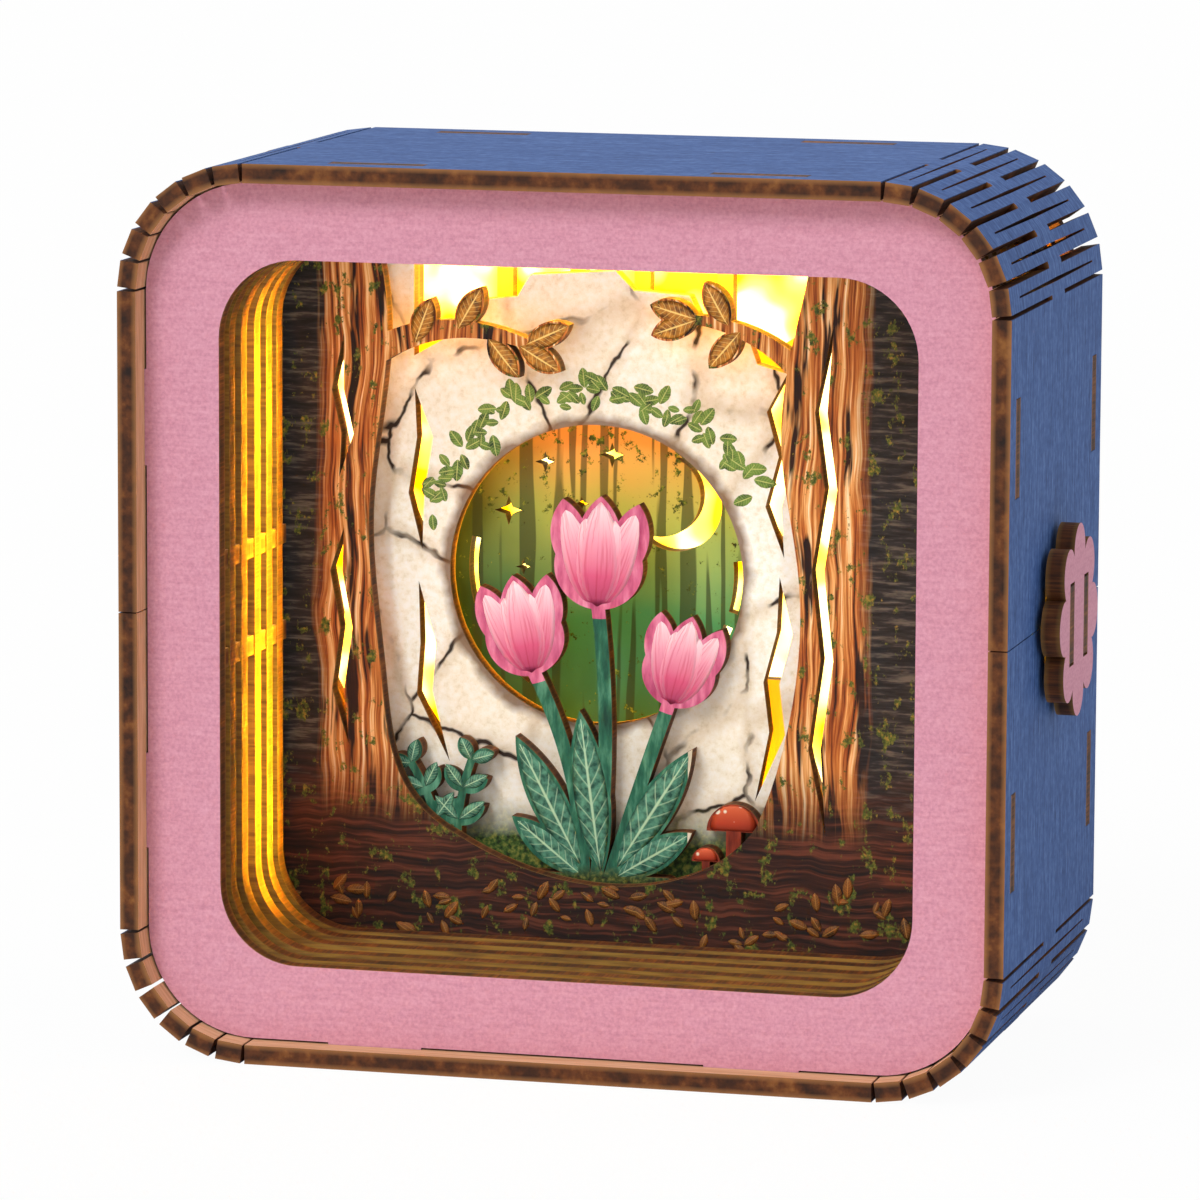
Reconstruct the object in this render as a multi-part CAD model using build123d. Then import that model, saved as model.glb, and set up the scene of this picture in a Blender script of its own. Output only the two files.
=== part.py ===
from build123d import *
import os
from math import cos, radians, sin, tan

# A lit scenery box of laser-cut plywood. All sizes are in millimetres.
# X runs to the right, Y to the back, Z up. The origin is the middle of the underside.

# Case
case_width = 140.0
case_height = 140.0
ply = 3.0  # thickness of every plywood sheet
corner_radius = 20.0  # outside radius of a bent corner
seam_gap = 0.2  # between the two bent half shells, at mid-height on both sides

# Bent corners
bend_blocks = 6  # stiff blocks in one corner
cut_width = 0.3  # width of a laser cut
middle_bridge = 9.6  # wood left at mid-depth, between the cuts from the two edges
end_bridge = 7.2  # wood left at each edge, beyond the slot in the middle of a block
slot_opening = 0.35  # extra width of that slot half way along, where bending opens it

# Front and back panels
panel_recess = 4.25  # from the edge of the case to the face of the panel
board_clearance = 0.3  # round every board, to the inside of the case
window_border = 15.0  # from the outside of the case to the window
window_radius = 12.5
tab_length = 15.0
tab_spread = 30.0  # from the middle of a side to the middle of a tab
tab_play = 0.1  # round a tab in its slot

# Layers behind the front panel, and the air in front of each
ring_a_gap = 2.2
ring_b_gap = 3.0
ring_c_gap = 3.9
ring_d_gap = 3.15
ring_e_gap = 2.5
trunks_gap = 2.5
bed_clearance = 0.6  # in front of the flower bed, which stands before the garden wall
bed_glue = 0.1
light_gap = 3.0  # between the garden wall and the backdrop

# Combs that space the layers
comb_rise = 7.7  # from mid-height to the middle of a side comb
comb_setback = 0.2  # of a side comb's edge from the edge of the window
comb_spread = 25.0  # of the floor and roof combs, from the middle
comb_height = 9.0  # of the floor and roof combs
comb_play = 0.06  # in a comb's slots
comb_end_play = 0.1  # at the ends of a comb

# Flower lock on the right side
ear_height = 12.0
ear_play = 0.2  # round an ear in the wall and, along its thickness, in the flower
petal_count = 8
petal_reach = 10.7  # from the flower's middle to a petal's middle
petal_radius = 4.3
flower_slot_play = 0.45  # above and below an ear in the flower
flower_gap = 0.9  # between the wall and the flower

# Battery tray, its cells and the door behind them
cell_diameter = 20.0
cell_thickness = 3.2
cell_play = 0.2  # round a cell
cell_spacing = 21.8
tray_floor = 1.2
tray_rim = 0.8  # that the tray stands higher than a cell
tray_wall = 1.5
tray_corner = 2.0
tray_drop = 30.0  # from mid-height down to the middle of the tray
tray_glue = 0.1
contact_width = 3.6
contact_thickness = 0.3
door_width = 62.0
door_height = 26.0
door_play = 0.3  # round the door
door_lift = 0.2  # of the door off its ledge
finger_notch = 5.0  # radius
ledge_side = 7.0  # width of the ledge at the left and the right of the door
ledge_lip = 2.0  # width of the ledge above and below the door
ledge_glue = 3.0  # width of the ledge frame that is glued behind the panel
ledge_thickness = 2.0
ledge_air = 1.25  # between the tray and the ledge frame
magnet_diameter = 4.0
magnet_thickness = 1.5
magnet_play = 0.05
lug_size = 2.4
lug_thickness = 0.4

# Slide switch on the inside of the back panel
switch_width = 12.0
switch_height = 5.5
switch_thickness = 4.6
switch_place = 46.0  # to the right of the middle
switch_travel = 3.0
slider_width = 3.0
slider_height = 2.0
slider_play = 0.3
slider_seat = 2.2  # depth of the slider's slot in the housing
slider_proud = 1.0  # that the slider stands out of the back panel
slider_groove = 0.5
pin_width = 0.7
pin_thickness = 0.3
pin_length = 2.6
pin_pitch = 3.0

# Light tapes
tape_width = 5.0
tape_thickness = 0.4
chip_width = 2.8
chip_length = 3.5
chip_thickness = 1.4
chip_pitch = 10.0
side_tape_length = 31.0
side_tape_air = 4.8  # from a side comb to the near end of a side tape
cross_tape_length = 36.0
back_tape_length = 50.0
back_tape_spread = 16.0
back_tape_rise = 24.0
diffuser_thickness = 0.6
diffuser_air = 1.2  # from the milky sheet to the side combs
diffuser_top = 54.0  # above mid-height
diffuser_foot = 38.0  # below mid-height
diffuser_tray_air = 3.9  # round the battery tray, which the sheet leaves free

# Leads
lead_diameter = 1.1
lead_sides = 6  # flats round a lead, which stand for its round section
lead_bend = 2.5
lead_hole_play = 1.3  # round a lead that bends into its hole in a board
lead_corner = 5.5  # from the end of a side tape up to the hole
lead_air = 0.15
lead_slack = 4.5  # that a lead bows or steps aside
lead_turn_drop = 8.0  # from the foot of a back tape down to the lead's turn

# Scenery. Places are measured from the middle of the case, in X and Z. What is drawn by hand lies
# on a grid of 110 steps across the window, and the shares are of a shape's own size.
drawing_steps = 110
gate_middle = (-6.0, 2.0)  # round gate in the garden wall
gate_radius = 24.0
scene_reach = 2.0  # that an opening runs past the edge of the window
bark_crack_width = 2.0
wall_crack_width = 2.6
light_path_drift = 1.1  # that the slots behind a crack lie further to the left, layer by layer
wall_path_width = 5.0  # slots in the wall behind the cracks in the bark
back_path_width = 5.6  # slots in the backdrop behind all cracks
moon_middle = (5.5, 13.0)
moon_radius = 7.5
moon_bite = 6.6  # radius of the circle that makes the moon a crescent
moon_shift = 2.6
rim_slot_width = 1.5
rim_slot_inset = 2.2  # from the gate's edge to the middle of the lit slots behind it
star_waist = 0.34  # a star's inner radius, as a share of its outer one
canopy_depth = 17.0  # that the gaps between far branches reach down from the window's top
canopy_slant = 4.0
bed_base_height = 7.0
bed_base_drop = 49.0  # from mid-height down to the middle of the bases
bed_base_radius = 1.5
stem_width = 2.2
bough_leaf_length = 8.0
bough_leaf_width = 4.0
frond_width = 1.3
leaflet_length = 6.6
leaflet_width = 2.4
leaflet_turn = 50.0
leaflet_shrink = 2.6  # that the last leaflets are shorter than the first
stalk_share = 0.55  # a toadstool's stalk, as a share of its cap's radius
cup_share = 0.475  # half the height of a tulip's cup, as a share of the bloom's width
middle_petal = (0.0, 0.25, 1.0, 0.5, 90)  # place in X and Z, length and width as shares, and angle
left_petal = (-0.25, 0.35, 0.86, 0.42, 102)

# Worked out from the sizes above
half_width = case_width / 2
half_height = case_height / 2
inner_width = half_width - ply
inner_height = half_height - ply
board_width = inner_width - board_clearance
board_height = inner_height - board_clearance
inner_radius = corner_radius - ply
window_width = case_width - 2 * window_border
window_height = case_height - 2 * window_border
half_window = window_width / 2
half_window_height = window_height / 2
unit = min(window_width, window_height) / drawing_steps
trunks_to_wall = bed_clearance + ply + bed_glue
tray_depth = tray_floor + cell_thickness + tray_rim
rear_room = tray_glue + tray_depth + ledge_air + ledge_thickness
gaps_before = [
    ring_a_gap,
    ring_b_gap,
    ring_c_gap,
    ring_d_gap,
    ring_e_gap,
    trunks_gap,
    trunks_to_wall,
    light_gap,
]
case_depth = 2 * (panel_recess + ply) + sum(gaps_before) + len(gaps_before) * ply + rear_room
front_edge = -case_depth / 2
back_edge = case_depth / 2
front_panel_y = front_edge + panel_recess
back_panel_y = back_edge - panel_recess - ply


def layer_fronts():
    """The front face of each layer behind the panel, as a place along Y."""
    places = []
    front = front_panel_y
    for gap in gaps_before:
        front = front + ply + gap
        places.append(front)
    return places


layers = layer_fronts()
ring_a_y, ring_b_y, ring_c_y, ring_d_y, ring_e_y, trunks_y, wall_y, backdrop_y = layers
tray_y = backdrop_y + ply + tray_glue
front_ear_y = ring_d_y + ply / 2
back_ear_y = trunks_y + ply / 2
flower_y = (front_ear_y + back_ear_y) / 2
ear_spacing = back_ear_y - front_ear_y
tape_middle = (half_window + board_width) / 2
tape_middle_up = (half_window_height + board_height) / 2
side_tape_rise = comb_rise + ply / 2 + side_tape_air + side_tape_length / 2
lead_rise = side_tape_rise + side_tape_length / 2 + lead_corner
over = 1.0  # that a cutter runs past what it cuts


def sheet(outline, front, thickness=ply):
    """A flat board: an outline in X and Z about the middle of the case, with its front at Y = front."""
    place = Plane(origin=(0, front + thickness, half_height), x_dir=(1, 0, 0), z_dir=(0, -1, 0))
    return place * extrude(outline, amount=thickness, dir=(0, 0, 1))


def block(x, y, z):
    """A box from three (low, high) pairs, with Z counted from the middle of the case."""
    size = Box(x[1] - x[0], y[1] - y[0], z[1] - z[0])
    return Pos((x[0] + x[1]) / 2, (y[0] + y[1]) / 2, (z[0] + z[1]) / 2 + half_height) * size


def centred(middle, width):
    """The (low, high) pair of a width about its middle."""
    return (middle - width / 2, middle + width / 2)


def group(solids):
    """Several separate solids kept as one node."""
    return Compound(children=[solid for piece in solids for solid in piece.solids()])


# Bent half shells


def bend_line(step, side):
    """One fold of a corner: its point on the inside face, the way it opens and half its turn."""
    half_block = 90 / bend_blocks / 2
    angle = step * 90 / bend_blocks
    x = side * (half_width - corner_radius + inner_radius * cos(radians(angle)))
    z = half_height - corner_radius + inner_radius * sin(radians(angle))
    half_turn = half_block
    if step == 0:
        half_turn = half_block / 2
        angle = half_turn
    if step == bend_blocks:
        half_turn = half_block / 2
        angle = 90 - half_turn
    return Vector(x, z), Vector(side * cos(radians(angle)), sin(radians(angle))), half_turn


def strip_profile():
    """The bent strip seen from the front: flat blocks round two corners, mitred at each fold."""
    inside = [Vector(inner_width, seam_gap / 2)]
    outside = [Vector(half_width, seam_gap / 2)]
    for side, steps in ((1, range(bend_blocks + 1)), (-1, reversed(range(bend_blocks + 1)))):
        for step in steps:
            point, opens, half_turn = bend_line(step, side)
            inside.append(point)
            outside.append(point + opens * (ply / cos(radians(half_turn))))
    inside.append(Vector(-inner_width, seam_gap / 2))
    outside.append(Vector(-half_width, seam_gap / 2))
    return Polygon(*inside, *reversed(outside), align=None)


def edge_cuts(step, side):
    """The two cuts of a fold, from the front and the back edge, opened to a V by the bend."""
    point, opens, half_turn = bend_line(step, side)
    across = Vector(-opens.Y, opens.X)
    reach = ply / cos(radians(half_turn)) + over
    narrow = across * (cut_width / 2)
    wide = across * (cut_width / 2 + reach * tan(radians(half_turn)))
    low = point - opens * over
    high = point + opens * reach
    wedge = Polygon(low - narrow, low + narrow, high + wide, high - wide, align=None)
    length = case_depth / 2 - middle_bridge / 2 + over
    return [
        sheet(wedge, front_edge - over, length),
        sheet(wedge, middle_bridge / 2, length),
    ]


def block_slot(step, side):
    """The slot through the middle of a stiff block, a little wider half way along."""
    angle = (step + 0.5) * 90 / bend_blocks
    reach = inner_radius * cos(radians(90 / bend_blocks / 2))
    opens = Vector(side * cos(radians(angle)), 0, sin(radians(angle)))
    corner = Vector(side * (half_width - corner_radius), 0, case_height - corner_radius)
    face = Plane(origin=corner + opens * reach, x_dir=(0, 1, 0), z_dir=opens)
    half_length = case_depth / 2 - end_bridge
    half_cut = cut_width / 2
    outline = Polygon(
        (-half_length, -half_cut),
        (0, -half_cut - slot_opening / 2),
        (half_length, -half_cut),
        (half_length, half_cut),
        (0, half_cut + slot_opening / 2),
        (-half_length, half_cut),
        align=None,
    )
    return face * extrude(outline, amount=ply + over, both=True)


def tab_slots():
    """Slots for the tabs of the front and back panels in the upper half of the case."""
    wide = tab_length + 2 * tab_play
    cutters = []
    for panel_y in (front_panel_y, back_panel_y):
        depth = (panel_y - tab_play, panel_y + ply + tab_play)
        for side in (1, -1):
            wall = centred(side * (half_width - ply / 2), ply + 2 * over)
            roof = centred(half_height - ply / 2, ply + 2 * over)
            cutters.append(block(wall, depth, centred(tab_spread, wide)))
            cutters.append(block(centred(side * tab_spread, wide), depth, roof))
    return cutters


def ear_notches():
    """Notches at the seam, through which the ears of two layers pass."""
    cutters = []
    for side in (1, -1):
        for ear_y in (front_ear_y, back_ear_y):
            wall = centred(side * (half_width - ply / 2), ply + 2 * over)
            depth = centred(ear_y, ply + 2 * ear_play)
            cutters.append(block(wall, depth, centred(0, ear_height + 2 * ear_play)))
    return cutters


def upper_half():
    """The upper half of the case, one sheet bent round two living hinges."""
    cutters = tab_slots() + ear_notches()
    for side in (1, -1):
        for step in range(bend_blocks + 1):
            cutters.extend(edge_cuts(step, side))
        for step in range(bend_blocks):
            cutters.append(block_slot(step, side))
    return sheet(strip_profile(), front_edge, case_depth) - cutters


# Flat boards


def board():
    """The outline of every board that fills the case."""
    return RectangleRounded(2 * board_width, 2 * board_height, inner_radius)


def window():
    """The opening with rounded corners."""
    return RectangleRounded(window_width, window_height, window_radius)


def tabs():
    """The eight tabs of a panel, with their ends flush with the outside of the case."""
    pads = []
    for side in (1, -1):
        for spread in (tab_spread, -tab_spread):
            long_x = (half_width - board_width) + inner_radius / 2
            long_z = (half_height - board_height) + inner_radius / 2
            pads.append(Pos(side * (half_width - long_x / 2), spread) * Rectangle(long_x, tab_length))
            pads.append(Pos(spread, side * (half_height - long_z / 2)) * Rectangle(tab_length, long_z))
    return pads


def front_panel():
    """The framed front with its window."""
    return sheet(board() + tabs() - window(), front_panel_y)


def comb_notches():
    """Notches in a board's edge, where the combs cross it."""
    inner_x = half_window + comb_setback
    lap = (inner_x + board_width) / 2 - comb_play
    width = ply + 2 * comb_play
    cutters = []
    for side in (1, -1):
        for rise in (comb_rise, -comb_rise):
            reach = inner_width - lap
            cutters.append(Pos(side * (lap + reach / 2), rise) * Rectangle(reach, width))
        for spread in (comb_spread, -comb_spread):
            depth = comb_height / 2 + comb_play
            middle = side * (board_height - depth / 2 + over / 2)
            cutters.append(Pos(spread, middle) * Rectangle(width, depth + over))
    return cutters


def lead_holes():
    """Two small square holes near the upper corners, for the leads to the front lights."""
    size = lead_diameter + 2 * lead_hole_play
    return [Pos(side * tape_middle, lead_rise) * Rectangle(size, size) for side in (1, -1)]


def layer_board():
    """A board that fits the combs."""
    return board() - comb_notches()


def ring(front, with_holes):
    """A plain frame with the window's opening."""
    outline = layer_board() - window()
    if with_holes:
        outline = outline - lead_holes()
    return sheet(outline, front)


def ears():
    """Ears at mid-height: flush with the wall on the left, through the flower on the right."""
    root = (board_width + half_window) / 2
    left = half_width
    right = half_width + flower_gap + ply
    return [
        Pos((root + right) / 2, 0) * Rectangle(right - root, ear_height),
        Pos(-(root + left) / 2, 0) * Rectangle(left - root, ear_height),
    ]


def eared(outline):
    """Adds the ears to a layer, and takes the comb notches out again."""
    return outline + ears() - comb_notches()


def comb_slots(across, height):
    """Slots of a comb, one for each layer behind the front panel."""
    slots = []
    for front in layers:
        slots.append(block(across, (front - comb_play, front + ply + comb_play), height))
    return slots


def comb_length():
    """The room between the front and the back panel."""
    return (front_panel_y + ply + comb_end_play, back_panel_y - comb_end_play)


def side_comb(side, level):
    """A comb that lies flat along a side wall, with its teeth towards the scene."""
    inner = half_window + comb_setback
    lap = (inner + board_width) / 2
    width = tuple(sorted((side * inner, side * board_width)))
    teeth = tuple(sorted((side * (inner - over), side * lap)))
    height = centred(level * comb_rise, ply)
    cut_height = centred(level * comb_rise, ply + 2 * over)
    return block(width, comb_length(), height) - comb_slots(teeth, cut_height)


def end_comb(spread, level):
    """A comb that stands on edge along the floor or the roof."""
    outer = level * board_height
    inner = level * (board_height - comb_height)
    lap = (outer + inner) / 2
    width = centred(spread * comb_spread, ply)
    cut_width_x = centred(spread * comb_spread, ply + 2 * over)
    height = tuple(sorted((outer, inner)))
    teeth = tuple(sorted((inner - level * over, lap)))
    return block(width, comb_length(), height) - comb_slots(cut_width_x, teeth)


# Scenery


def drawn(points, drift=0):
    """Points of the hand-drawn grid in millimetres, moved to the left by a drift."""
    return [(x * unit - drift, z * unit) for x, z in points]


def stem(points, width):
    """A strip of even width along a curve."""
    return trace(Spline(drawn(points)), width)


def crack(points, width, drift=0):
    """A jagged split along the points, pointed at both ends."""
    places = drawn(points, drift)
    left = []
    right = []
    for before, here, after in zip(places, places[1:], places[2:]):
        heading = Vector(after[0] - before[0], after[1] - before[1]).normalized()
        side = Vector(-heading.Y, heading.X) * (width / 2)
        left.append((here[0] + side.X, here[1] + side.Y))
        right.append((here[0] - side.X, here[1] - side.Y))
    return Polygon(places[0], *left, places[-1], *reversed(right), align=None)


def bark_cracks():
    """The lines of the three splits in the bark of the old trunks."""
    return [
        [(33.2, -37), (31.3, -23), (33.2, -9), (31.6, 5), (33.6, 18), (31.9, 30), (33.8, 44)],
        [(-44.8, -26), (-46.6, -17), (-45.2, -7), (-46.9, 2), (-45.6, 9)],
        [(-46.4, 17), (-45.0, 24), (-46.6, 31), (-45.6, 40)],
    ]


def wall_cracks():
    """The lines of the splits in the garden wall, beside the round gate."""
    return [
        [(25.3, 36), (22.9, 29), (24.9, 22), (22.8, 14), (24.6, 6)],
        [(23.9, 3), (24.8, -6), (22.7, -14), (23.7, -22), (20.2, -33)],
        [(-35.9, 31), (-34.2, 23), (-35.6, 14), (-34.6, 5)],
        [(-35.2, 0), (-33.6, -10), (-34.2, -18), (-30.0, -29)],
    ]


def trunks_opening():
    """The opening between the two old trunks, above the roots and the forest floor."""
    top = half_window_height + scene_reach
    left_trunk = drawn([(-38.5, 38), (-41.5, 12), (-39.5, -14), (-36, -31), (-27, -39.5)])
    floor = drawn([(-27, -39.5), (-14, -45), (2, -46.5), (14, -43), (22, -36)])
    right_trunk = drawn([(22, -36), (27, -20), (28.5, 4), (25.5, 26), (28, 44)])
    left_top = (-41 * unit, top)
    right_top = (31 * unit, top)
    edge = Spline([left_top, *left_trunk]) + Spline(floor) + Spline([*right_trunk, right_top])
    return make_face(edge + Line(right_top, left_top))


def branch(points, root, tip):
    """A bough that tapers from root to tip width along its points."""
    line = Spline(drawn(points))
    upper = []
    lower = []
    for share in (0, 0.5, 1):
        heading = line % share
        side = Vector(-heading.Y, heading.X) * ((root + (tip - root) * share) / 2)
        upper.append(line @ share + side)
        lower.insert(0, line @ share - side)
    edge = Spline(upper) + Line(upper[-1], lower[0]) + Spline(lower) + Line(lower[-1], upper[0])
    return make_face(edge)


def leaf(x, z, length, width, angle):
    """A pointed leaf between two arcs, its foot at (x, z) and its tip towards angle."""
    half = length / 2
    radius = (half * half + width * width / 4) / width
    offset = radius - width / 2
    lens = Pos(half, -offset) * Circle(radius) & Pos(half, offset) * Circle(radius)
    return Pos(x, z) * Rot(0, 0, angle) * lens


def bough_leaves():
    """Foot and angle of every leaf on the two boughs."""
    left = [(-27, 41, 60), (-22, 40, -50), (-16, 39, 25), (-17, 39, -30), (-34, 38.5, 70)]
    right = [(17, 43, 120), (19, 42.5, -130), (12, 44, 165), (12, 44, -160)]
    return left + right


def trunks_layer():
    """Old trunks and roots round the clearing, with two boughs and three lit splits in the bark."""
    outline = board() - trunks_opening()
    outline = outline + branch([(-46, 33), (-30, 41), (-15, 39)], 5.0, 1.6)
    outline = outline + branch([(33, 30), (22, 41), (11, 44)], 4.2, 1.4)
    for x, z, angle in bough_leaves():
        outline = outline + leaf(x * unit, z * unit, bough_leaf_length, bough_leaf_width, angle)
    for line in bark_cracks():
        outline = outline - crack(line, bark_crack_width)
    return sheet(eared(outline) - lead_holes(), trunks_y)


def sky_opening():
    """The gap above the garden wall, whose broken top steps down to both sides."""
    top = half_window_height + scene_reach
    wall_top = [(-36, 36), (-29, 40), (-27.5, 45), (-19, 46), (-17, 49.5), (-3, 50.5)]
    wall_top = wall_top + [(0, 47.5), (9, 47), (11, 43), (18, 42), (20, 36.5), (25.5, 35)]
    return Polygon((-36 * unit, top), *drawn(wall_top), (29 * unit, top), align=None)


def garden_wall():
    """A pale stone wall with a round gate, lit splits beside it and the sky above it."""
    outline = board() - sky_opening()
    outline = outline - Pos(*gate_middle) * Circle(gate_radius)
    for line in wall_cracks():
        outline = outline - crack(line, wall_crack_width)
    for line in bark_cracks():
        outline = outline - crack(line, wall_path_width, light_path_drift)
    return sheet(outline - comb_notches() - lead_holes(), wall_y)


def star(x, z, reach):
    """A four-pointed star."""
    points = []
    for corner in range(8):
        radius = reach if corner % 2 == 0 else reach * star_waist
        angle = radians(corner * 45)
        points.append((x + radius * sin(angle), z + radius * cos(angle)))
    return Polygon(*points, align=None)


def star_places():
    """Place and reach of every star."""
    left = [(-22, 11, 2.4), (-16, 19, 1.7), (-19.5, 2, 1.3)]
    return left + [(-10, 12.5, 1.3), (-5, 20.5, 2.1), (-12, 4.5, 1.6)]


def arc_slot(radius, width, start, end):
    """A slot along an arc about the gate's middle."""
    path = CenterArc(gate_middle, radius, start, end - start)
    return trace(path, width)


def canopy_gap(x, width):
    """A gap between far branches, high in the backdrop."""
    low = half_window_height - canopy_depth
    top = half_window_height + scene_reach
    foot = [(x, low + canopy_slant), (x + width / 2, low), (x + width, low + canopy_slant)]
    return Polygon(*foot, (x + width, top), (x, top), align=None)


def lit_paths():
    """Wide slots behind every crack, kept below the gaps in the canopy."""
    canopy = Pos(0, half_window_height) * Rectangle(2 * half_window, 2 * canopy_depth)
    area = diffuser_outline() - canopy
    paths = [crack(line, back_path_width, 2 * light_path_drift) for line in bark_cracks()]
    paths = paths + [crack(line, back_path_width, light_path_drift) for line in wall_cracks()]
    return [path & area for path in paths]


def backdrop():
    """A dusk forest with cut-outs for stars, a crescent moon and the light round the gate."""
    outline = layer_board() - lead_holes()
    moon = Pos(*moon_middle) * Circle(moon_radius)
    bite = Pos(moon_middle[0] - moon_shift, moon_middle[1] + moon_shift / 2) * Circle(moon_bite)
    outline = outline - (moon - bite)
    for x, z, reach in star_places():
        outline = outline - star(x * unit, z * unit, reach * unit)
    radius = gate_radius - rim_slot_inset
    for start, end in ((168, 196), (202, 236), (-48, -22), (-16, 6)):
        outline = outline - arc_slot(radius, rim_slot_width, start, end)
    for x, width in ((-37, 13), (-21.5, 9.5), (-9.5, 8), (1, 11), (14.5, 13)):
        outline = outline - canopy_gap(x * unit, width * unit)
    return sheet(outline - lit_paths(), backdrop_y)


def tulip(x, z, size, lean):
    """A cup-shaped bloom with three points, its foot at (x, z)."""
    place = drawn([(x, z)])[0]
    right_petal = (-left_petal[0], *left_petal[1:4], 180 - left_petal[4])
    bloom = Pos(0, cup_share * size) * Ellipse(size / 2, cup_share * size)
    for across, up, length, width, angle in (middle_petal, left_petal, right_petal):
        bloom = bloom + leaf(across * size, up * size, length * size, width * size, angle)
    return Pos(*place) * Rot(0, 0, lean) * bloom


def bed_y():
    """The front of the flower bed, glued to the front of the garden wall."""
    return wall_y - bed_glue - ply


def bed_base(x, width):
    """The base of a group of plants."""
    return Pos(x * unit, -bed_base_drop * unit) * RectangleRounded(width * unit, bed_base_height, bed_base_radius)


def tulip_cluster():
    """Three tulips with their leaves on a small base."""
    plant = bed_base(-5, 26)
    for points in (
        [(-7, -47), (-9, -30), (-15.5, -13)],
        [(-5, -47), (-3.5, -25), (-5, -1)],
        [(-3, -47), (1.5, -33), (7, -17)],
    ):
        plant = plant + stem(points, stem_width)
    for x, z, size, lean in ((-15.5, -14, 13.0, 12), (-5, -3, 14.5, -2), (7, -18, 12.0, -14)):
        plant = plant + tulip(x, z, size * unit, lean)
    for x, z, length, width, angle in (
        (-7, -45, 24, 6.0, 118),
        (-4, -46, 27, 6.4, 98),
        (-2, -45, 24, 6.2, 58),
        (-7, -46, 15, 5.0, 142),
        (-2, -46, 15, 5.2, 32),
    ):
        plant = plant + leaf(x * unit, z * unit, length * unit, width * unit, angle)
    return sheet(plant, bed_y())


def toadstool(x, z, height, cap):
    """One toadstool: a stalk under a half-round cap."""
    foot_x, foot_z, height, cap = (value * unit for value in (x, z, height, cap))
    dome = Pos(foot_x, foot_z + height) * (Circle(cap) & Pos(0, cap / 2) * Rectangle(2 * cap, cap))
    stalk = Pos(foot_x, foot_z + height / 2) * Rectangle(cap * stalk_share, height + over / 2)
    return dome + stalk


def toadstool_group():
    """Two toadstools on a small base."""
    return sheet(bed_base(15.5, 9.5) + toadstool(17.5, -46.5, 9.0, 4.4) + toadstool(13.0, -46.5, 4.0, 2.3), bed_y())


def fern_group():
    """A fern with paired leaflets along two bowed fronds."""
    plant = bed_base(-28.5, 11)
    for points in ([(-30, -46), (-32, -36), (-35.5, -29)], [(-27.5, -46), (-27.5, -36), (-25.5, -28)]):
        frond = Spline(drawn(points))
        plant = plant + trace(frond, frond_width)
        for place in (0.4, 0.7, 1.0):
            foot = frond @ place
            heading = (frond % place).get_angle(Vector(1, 0, 0))
            length = leaflet_length - leaflet_shrink * place
            for turn in (leaflet_turn, -leaflet_turn):
                plant = plant + leaf(foot.X, foot.Y, length * unit, leaflet_width * unit, heading + turn)
    return sheet(plant, bed_y())


# Flower lock


def flower_lock():
    """The petalled plate pushed onto the two ears, across the seam of the case."""
    outline = Circle(petal_reach)
    for petal in range(petal_count):
        outline = outline + Rot(0, 0, petal * 360 / petal_count) * Pos(petal_reach, 0) * Circle(petal_radius)
    for side in (1, -1):
        slot = Rectangle(ply + 2 * ear_play, ear_height + 2 * flower_slot_play)
        outline = outline - Pos(side * ear_spacing / 2, 0) * slot
    place = Plane(origin=(half_width + flower_gap, flower_y, half_height), x_dir=(0, 1, 0), z_dir=(1, 0, 0))
    return place * extrude(outline, amount=ply)


# Back panel, battery tray and door


def door_opening():
    """The opening that the door fills."""
    return Pos(0, -tray_drop) * Rectangle(door_width, door_height)


def slider_slot_length():
    """The length of the switch's slot: the slider, its travel and its play."""
    return slider_width + switch_travel + 2 * slider_play


def slider_path_middle():
    """The middle of the slot, with the slider at rest at its right end."""
    return switch_place - switch_travel / 2


def back_panel():
    """The back with its door opening and the slot of the switch."""
    slot = Rectangle(slider_slot_length(), slider_height + 2 * slider_play)
    outline = board() + tabs() - door_opening() - Pos(slider_path_middle(), -tray_drop) * slot
    return sheet(outline, back_panel_y)


def magnet_places():
    """The middles of the two magnets, in X and Z."""
    return [(side * (door_width / 2 - ledge_side / 2), -tray_drop) for side in (1, -1)]


def discs(diameter, front, thickness):
    """Round discs at the two magnet places."""
    return [sheet(Pos(x, z) * Circle(diameter / 2), front, thickness) for x, z in magnet_places()]


def door_ledge():
    """A frame glued behind the panel, on which the door rests."""
    outer = Rectangle(door_width + 2 * ledge_glue, door_height + 2 * ledge_glue)
    inner = Rectangle(door_width - 2 * ledge_side, door_height - 2 * ledge_lip)
    frame = sheet(Pos(0, -tray_drop) * (outer - inner), back_panel_y - ledge_thickness, ledge_thickness)
    wide = magnet_diameter + 2 * magnet_play
    return frame - discs(wide, back_panel_y - magnet_thickness, magnet_thickness + over)


def battery_door():
    """A lift-off door with a half-round notch for a finger."""
    front = back_panel_y + door_lift
    outline = Rectangle(door_width - 2 * door_play, door_height - 2 * door_play)
    outline = outline - Pos(0, door_height / 2 - door_play) * Circle(finger_notch)
    door = sheet(Pos(0, -tray_drop) * outline, front)
    wide = magnet_diameter + 2 * magnet_play
    return door - discs(wide, front - over, over + magnet_thickness)


def cell_places():
    """The middles of the two cells, in X and Z."""
    return [(side * cell_spacing / 2, -tray_drop) for side in (1, -1)]


def tray_width():
    """The outside width of the battery tray."""
    return cell_spacing + cell_diameter + 2 * cell_play + 2 * tray_wall


def tray_height():
    """The outside height of the battery tray."""
    return cell_diameter + 2 * cell_play + 2 * tray_wall


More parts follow.
